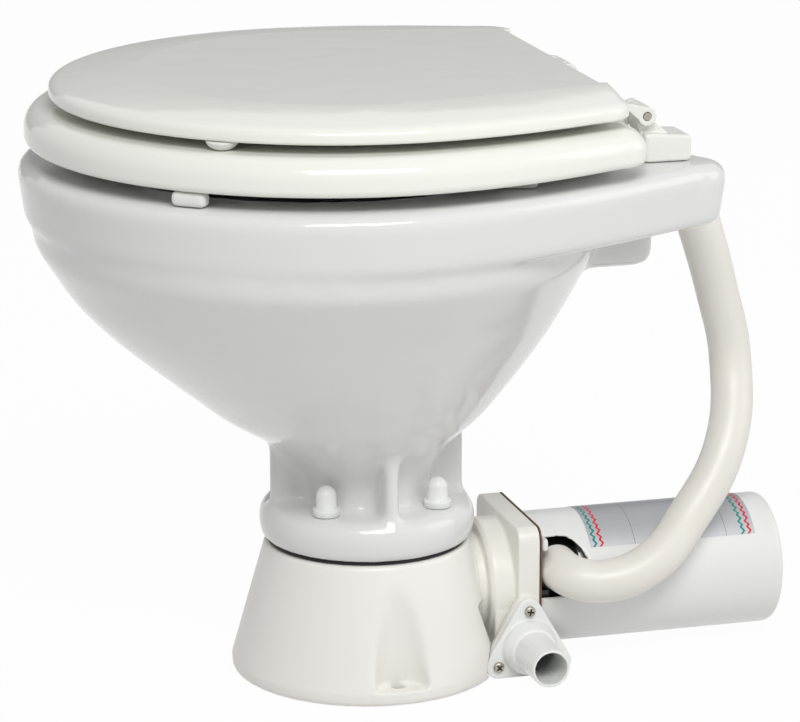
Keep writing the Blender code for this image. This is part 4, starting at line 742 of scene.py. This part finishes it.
# ---------------------------------------------------------------- Rinse elbow and hose
# A thick-walled hose in milky vinyl carries sea water from the rinse pump round the motor and
# up to a white elbow behind the bowl; it is pushed on and bends under its own stiffness.
elbow = fine_copy("rinse_elbow", grain=0.0007, passes=6)
dress(elbow, outlet_white, "toilet", "white_plastic", "rinse_elbow")

vinyl = Finish("milky_vinyl", Subsurface_Weight=0.12, Subsurface_Radius=(0.006, 0.005, 0.004))
vinyl.two_tone(vinyl.noise(14.0, 3.0), (0.745, 0.715, 0.655), (0.830, 0.808, 0.755))
vinyl.feed("Roughness", 0.30 + vinyl.noise(55.0, 3.0) * 0.14)
vinyl.bump(vinyl.noise(40.0, 2.0) + vinyl.noise(700.0) * 0.05, 0.0004)

hose_radius, hose_wall, hose_rounding, hose_stretch = 0.0136, 0.0040, 0.0007, 1.04
hose_line = [(0.0311, 0.1165, 0.0655), (0.0367, 0.1165, 0.0655), (0.0437, 0.1165, 0.0655),
             (0.0553333, 0.1221667, 0.06375), (0.0610, 0.1370, 0.0620), (0.0607, 0.1680, 0.0700),
             (0.0440, 0.2010, 0.0945), (0.0260, 0.2318, 0.1350), (0.0003, 0.2438, 0.1850)]
elbow_y, elbow_z, elbow_bend = 0.1970, 0.3130, 0.0140
lean = math.radians(20.0)
down = Vector((0, math.sin(lean), -math.cos(lean)))
over = Vector((0, math.sin(math.pi / 2 - lean), math.cos(math.pi / 2 - lean)))
bend_end = Vector((0, elbow_y, elbow_z - elbow_bend)) + elbow_bend * over
tip_below, top_below = 0.0300, 0.0006
hose_tip = bend_end + down * tip_below
hose_top = bend_end + down * top_below
last_y, last_z = hose_line[-1][1:]
hose_line += [(0, (last_y + hose_tip.y) / 2 + 0.00175, (last_z + hose_tip.z) / 2),
              tuple(hose_tip), tuple(hose_top)]
curve = bpy.data.curves.new("rinse_hose_line", "CURVE")
curve.dimensions = "3D"
curve.resolution_u = 16
curve.bevel_depth = hose_radius
curve.bevel_resolution = 14
curve.use_fill_caps = False
run = curve.splines.new("BEZIER")
run.bezier_points.add(len(hose_line) - 1)
for k, (knot, spot) in enumerate(zip(run.bezier_points, hose_line)):
    knot.co = spot
    knot.handle_left_type = knot.handle_right_type = "AUTO"
    knot.radius = hose_stretch if k >= len(hose_line) - 2 else 1.0
hose = bpy.data.objects.new("rinse_hose_skin", curve)
bpy.context.scene.collection.objects.link(hose)
pick_only(hose)
bpy.ops.object.convert(target="MESH")
hose = bpy.context.object
change(hose, "SOLIDIFY", thickness=hose_wall, offset=-1.0)
change(hose, "BEVEL", width=hose_rounding, segments=3, limit_method="ANGLE",
       angle_limit=math.radians(60))
smooth_edges(hose, 50)
dress(hose, vinyl.material, "toilet", "hose_vinyl", "rinse_hose")


# ---------------------------------------------------------------- Hinges
# Each hinge is a white moulded block on a stud through the bowl's ear, with a hand nut below,
# a steel pin, and one arm each for the seat and the lid.
hinge_white = moulded("hinge_moulding", (0.820, 0.830, 0.780), 0.26, 0.02)
hinge_parts = (("hinge_block_", "toilet"), ("hinge_nut_", "toilet"), ("seat_arm_", "seat"),
               ("lid_arm_", "lid"))
for tag in ("left", "right"):
    for part, body in hinge_parts:
        piece = fine_copy(part + tag, grain=0.00055, passes=4)
        dress(piece, hinge_white, body, "white_plastic", part + tag)


# ---------------------------------------------------------------- Seat
# The seat ring is compressed wood under a thick glossy enamel, with a wide rounded outer
# edge, a small round at the foot and an oval opening.
plan_steps = 288


def seat_plan(half_width, front, widest_y, back_y, back_half_width, corner, power, soft=10):
    """Plan of a seat or lid: half ellipse in front, tapering sides, round corners at the back."""
    front_steps, side_steps, corner_steps = plan_steps // 4, plan_steps // 6, plan_steps // 12
    side = []
    for k in range(front_steps):
        t = math.pi / 2 * k / front_steps
        side.append((half_width * math.sin(t), widest_y - front * math.cos(t)))
    side_end = back_y - corner
    for k in range(side_steps):
        y = widest_y + (side_end - widest_y) * k / side_steps
        reach = ((y - widest_y) / (back_y - widest_y)) ** power
        side.append((half_width - (half_width - back_half_width) * reach, y))
    reach = ((side_end - widest_y) / (back_y - widest_y)) ** power
    side_x = half_width - (half_width - back_half_width) * reach
    side += arc_points((side_x - corner, side_end), corner, 0, 90, corner_steps)
    whole = np.array(side + [(-x, y) for x, y in reversed(side[1:])])
    for k in range(soft):
        whole = whole / 2 + (np.roll(whole, 1, 0) + np.roll(whole, -1, 0)) / 4
    return [tuple(point) for point in whole]


def at_height(plan, z):
    return [Vector((x, y, z)) for x, y in plan]


def quarter(steps):
    """Sine and cosine at equal steps through a right angle."""
    turns = [math.radians(90 * k / steps) for k in range(steps + 1)]
    return [(math.sin(t), math.cos(t)) for t in turns]


least_corner = 0.004


def seat_outside(inset):
    return seat_plan(half_width=0.1865 - inset, front=0.1915 - inset, widest_y=-0.020,
                     back_y=0.1370 - inset, back_half_width=0.1400 - inset,
                     corner=max(0.0200 - inset * 0.4, least_corner), power=1.885)


enamel = glazed("seat_enamel", (0.845, 0.853, 0.790), 0.085, 0.0004)
seat_bottom, seat_thickness = 0.3465, 0.0225
seat_top = seat_bottom + seat_thickness
seat_round, foot_round, opening_round = 0.0125, 0.0050, seat_thickness / 3
opening_front, opening_back, opening_half_width = -0.1530, 0.0820, 0.1120
count = len(seat_outside(0))


def seat_inside(outset):
    middle_y = (opening_back + opening_front) / 2
    half_length = (opening_back - opening_front) / 2 + outset
    turns = [2 * math.pi * k / count for k in range(count)]
    return [((opening_half_width + outset) * math.sin(t), middle_y - half_length * math.cos(t))
            for t in turns]


rings = []
for sine, cosine in quarter(6):
    rings.append(at_height(seat_outside(foot_round * (1 - sine)),
                           seat_bottom + foot_round * (1 - cosine)))
for sine, cosine in quarter(12):
    rings.append(at_height(seat_outside(seat_round * (1 - cosine)),
                           seat_top - seat_round * (1 - sine)))
for sine, cosine in quarter(8):
    rings.append(at_height(seat_inside(opening_round * (1 - sine)),
                           seat_top - opening_round * (1 - cosine)))
for sine, cosine in quarter(5):
    rings.append(at_height(seat_inside(opening_round / 2 * (1 - cosine)),
                           seat_bottom + opening_round / 2 * (1 - sine)))
seat = skin("seat_ring", rings, closed=True)
smooth_edges(seat, 60)
dress(seat, enamel, "seat", "enamelled_wood", "seat")


# ---------------------------------------------------------------- Lid
# The lid is a solid enamelled board with a flat middle that runs out to the back edge, a
# softly sloping border round the front and sides, and a notch between the hinges.
lid_bottom, lid_thickness, lid_edge = 0.3750, 0.0146, 0.0092
lid_widest, lid_back = -0.015, 0.1270
notch_width, notch_depth, notch_height = 0.1930, 0.0160, 0.06
step = lid_edge / 4
slope = lid_thickness - lid_edge
low_rise, high_rise, swell, flat_rim = slope / 5, slope * 0.8, 0.525, 0.008


def lid_outside(inset, back_inset):
    return seat_plan(half_width=0.1740 - inset, front=0.1810 - inset, widest_y=lid_widest,
                     back_y=lid_back - back_inset, back_half_width=0.1380 - inset,
                     corner=max(0.0220 - inset * 0.4, least_corner), power=1.860)


flat = seat_plan(half_width=0.1260, front=0.1270, widest_y=lid_widest,
                 back_y=lid_back - lid_edge / 3, back_half_width=0.1000, corner=0.0060,
                 power=1.000, soft=3)
shoulder = lid_outside(3 * step, step)
rings = [at_height(lid_outside(step, step), lid_bottom)]
for sine, cosine in quarter(6)[1:]:
    inset = step * (1 - sine)
    rings.append(at_height(lid_outside(inset, inset), lid_bottom + step * (1 - cosine)))
rings.append(at_height(lid_outside(0, 0), lid_bottom + lid_edge - 2 * step))
edge_start = Vector((0, lid_edge - 2 * step))
edge_bend = Vector((0, lid_edge - step * 0.1))
edge_stop = Vector((3 * step, lid_edge + low_rise))
edge_steps, slope_steps = 9, 18
for k in range(1, edge_steps + 1):
    t = k / edge_steps
    inset, height = edge_start * (1 - t) ** 2 + edge_bend * 2 * t * (1 - t) + edge_stop * t * t
    rings.append(at_height(lid_outside(inset, inset / 3), lid_bottom + height))
for k in range(1, slope_steps + 1):
    t = k / slope_steps
    rise = low_rise + high_rise * ((1 + swell) * t - swell * t * t)
    rings.append([Vector((x + (fx - x) * t, y + (fy - y) * t, lid_bottom + lid_edge + rise))
                  for (x, y), (fx, fy) in zip(shoulder, flat)])
rings.append([Vector((x * (1 - flat_rim), y + (lid_widest - y) * flat_rim,
                      lid_bottom + lid_thickness)) for x, y in flat])
lid = skin("lid_board", rings)
bpy.ops.object.select_all(action="DESELECT")
bpy.ops.mesh.primitive_cube_add(size=1.0, location=(0, lid_back, lid_bottom + lid_thickness / 2))
notch = bpy.context.object
notch.scale = (notch_width, notch_depth, notch_height)
pick_only(notch)
bpy.ops.object.transform_apply(location=True, rotation=True, scale=True)
change(lid, "BOOLEAN", operation="DIFFERENCE", object=notch, solver="EXACT")
bpy.data.objects.remove(notch)
smooth_edges(lid, 40)
dress(lid, enamel, "lid", "enamelled_wood", "lid")


# ---------------------------------------------------------------- Buffers
# Small white rubber feet keep the seat off the rim and the lid off the seat; they are pressed
# into holes in the wood and show in the dark gaps.
soft_white = moulded("white_rubber", (0.780, 0.785, 0.750), 0.55, 0.03, 0.00006)
buffer_parts = (("seat_buffer_front_", "seat"), ("seat_buffer_back_", "seat"),
                ("lid_buffer_", "lid"))
for tag in ("left", "right"):
    for part, body in buffer_parts:
        piece = fine_copy(part + tag, grain=0.0005, passes=22)
        dress(piece, soft_white, body, "white_rubber", part + tag)


# ---------------------------------------------------------------- Studio
# The toilet stands on a plain white floor, seen from its left side and a little from the
# front through a long lens. One large soft lamp hangs above the camera, with two weak ones
# and an even surround.
camera_place = (2.2780, -0.6302, 0.8260)
camera_aim = (-0.9294, 0.2661, -0.2558)
bpy.ops.object.camera_add(location=camera_place)
camera = bpy.context.object
camera.name = "photo_camera"
camera.rotation_euler = Vector(camera_aim).to_track_quat("-Z", "Y").to_euler()
camera.data.lens = 175.05
camera.data.sensor_width = 36
camera.data.sensor_fit = "HORIZONTAL"
camera.data.clip_end = 50
bpy.context.scene.camera = camera
bpy.context.scene.view_settings.view_transform = "Standard"


def soft_lamp(name, place, aim, size, power):
    bpy.ops.object.light_add(type="AREA", location=place)
    lamp = bpy.context.object
    lamp.name = name
    lamp.rotation_euler = (Vector(aim) - Vector(place)).to_track_quat("-Z", "Y").to_euler()
    lamp.data.shape = "RECTANGLE"
    lamp.data.size, lamp.data.size_y = size
    lamp.data.energy = power


soft_lamp("key_lamp", (1.80, -0.11, 1.90), aim=(0, 0, 0.2), size=(1.4, 0.7), power=34)
soft_lamp("rear_lamp", (0.5, 1.8, 1.0), aim=(0, 0.1, 0.2), size=(1.2, 1.2), power=7)
soft_lamp("top_lamp", (-0.3, -0.6, 2.2), aim=(0, 0, 0.2), size=(1.2, 1.2), power=1.5)


def seen_rays(net):
    """One for camera, glossy and transmission rays, so that metal shows the backdrop too."""
    seen = net.add("ShaderNodeLightPath", {}, {}, "Is Camera Ray")
    path = seen.socket.node
    for kind in ("Is Glossy Ray", "Is Transmission Ray"):
        seen = seen.sum("MAXIMUM", seen, Wire(net, path.outputs[kind]))
    return seen


white, surround_strength = (1, 1, 1, 1), 0.38
world = bpy.data.worlds.new("studio")
bpy.context.scene.world = world
world.use_nodes = True
air = Net(world.node_tree)
air.tree.nodes.clear()
surround = air.add("ShaderNodeBackground", {}, {"Color": white, "Strength": surround_strength})
backdrop = air.add("ShaderNodeBackground", {}, {"Color": white})
mixed = air.add("ShaderNodeMixShader", {}, {0: seen_rays(air), 1: surround, 2: backdrop})
output = air.tree.nodes.new("ShaderNodeOutputWorld")
air.tree.links.new(mixed.socket, output.inputs["Surface"])


def show(finish, wire):
    """What a stage piece sends out."""
    finish.tree.links.new(wire.socket, finish.tree.nodes["Material Output"].inputs["Surface"])


floor_size, floor_drop, paper_glow = 30, 0.0005, 0.97
bpy.ops.object.select_all(action="DESELECT")
bpy.ops.mesh.primitive_plane_add(size=floor_size, location=(0, 0, -floor_drop))
floor = bpy.context.object
floor.name = "floor"
paper = Finish("white_paper", Base_Color=(0.86, 0.86, 0.86, 1), Roughness=0.9,
               Specular_IOR_Level=0.0)
glow = paper.add("ShaderNodeEmission", {}, {"Color": white, "Strength": 1.0})
show(paper, paper.add("ShaderNodeMixShader", {}, {0: seen_rays(paper) * paper_glow,
                                                  1: Wire(paper, paper.shader.outputs[0]),
                                                  2: glow}))
floor.data.materials.append(paper.material)

# A grey card far behind, which only reflections show, keeps the lid's flat top from glaring
card_place, card_size, card_turn = (-2.88, 0.83, 0.91), (4.5, 1.46, 1), 74
bpy.ops.object.select_all(action="DESELECT")
bpy.ops.mesh.primitive_plane_add(size=1.0, location=card_place)
card = bpy.context.object
card.name = "grey_card"
card.scale = card_size
card.rotation_euler = (math.radians(90), 0, math.radians(card_turn))
grey = Finish("grey_card")
grey.tree.nodes.remove(grey.shader)
show(grey, grey.add("ShaderNodeEmission", {}, {"Color": (0.42, 0.42, 0.42, 1)}))
card.data.materials.append(grey.material)
card.visible_camera = card.visible_diffuse = card.visible_shadow = False
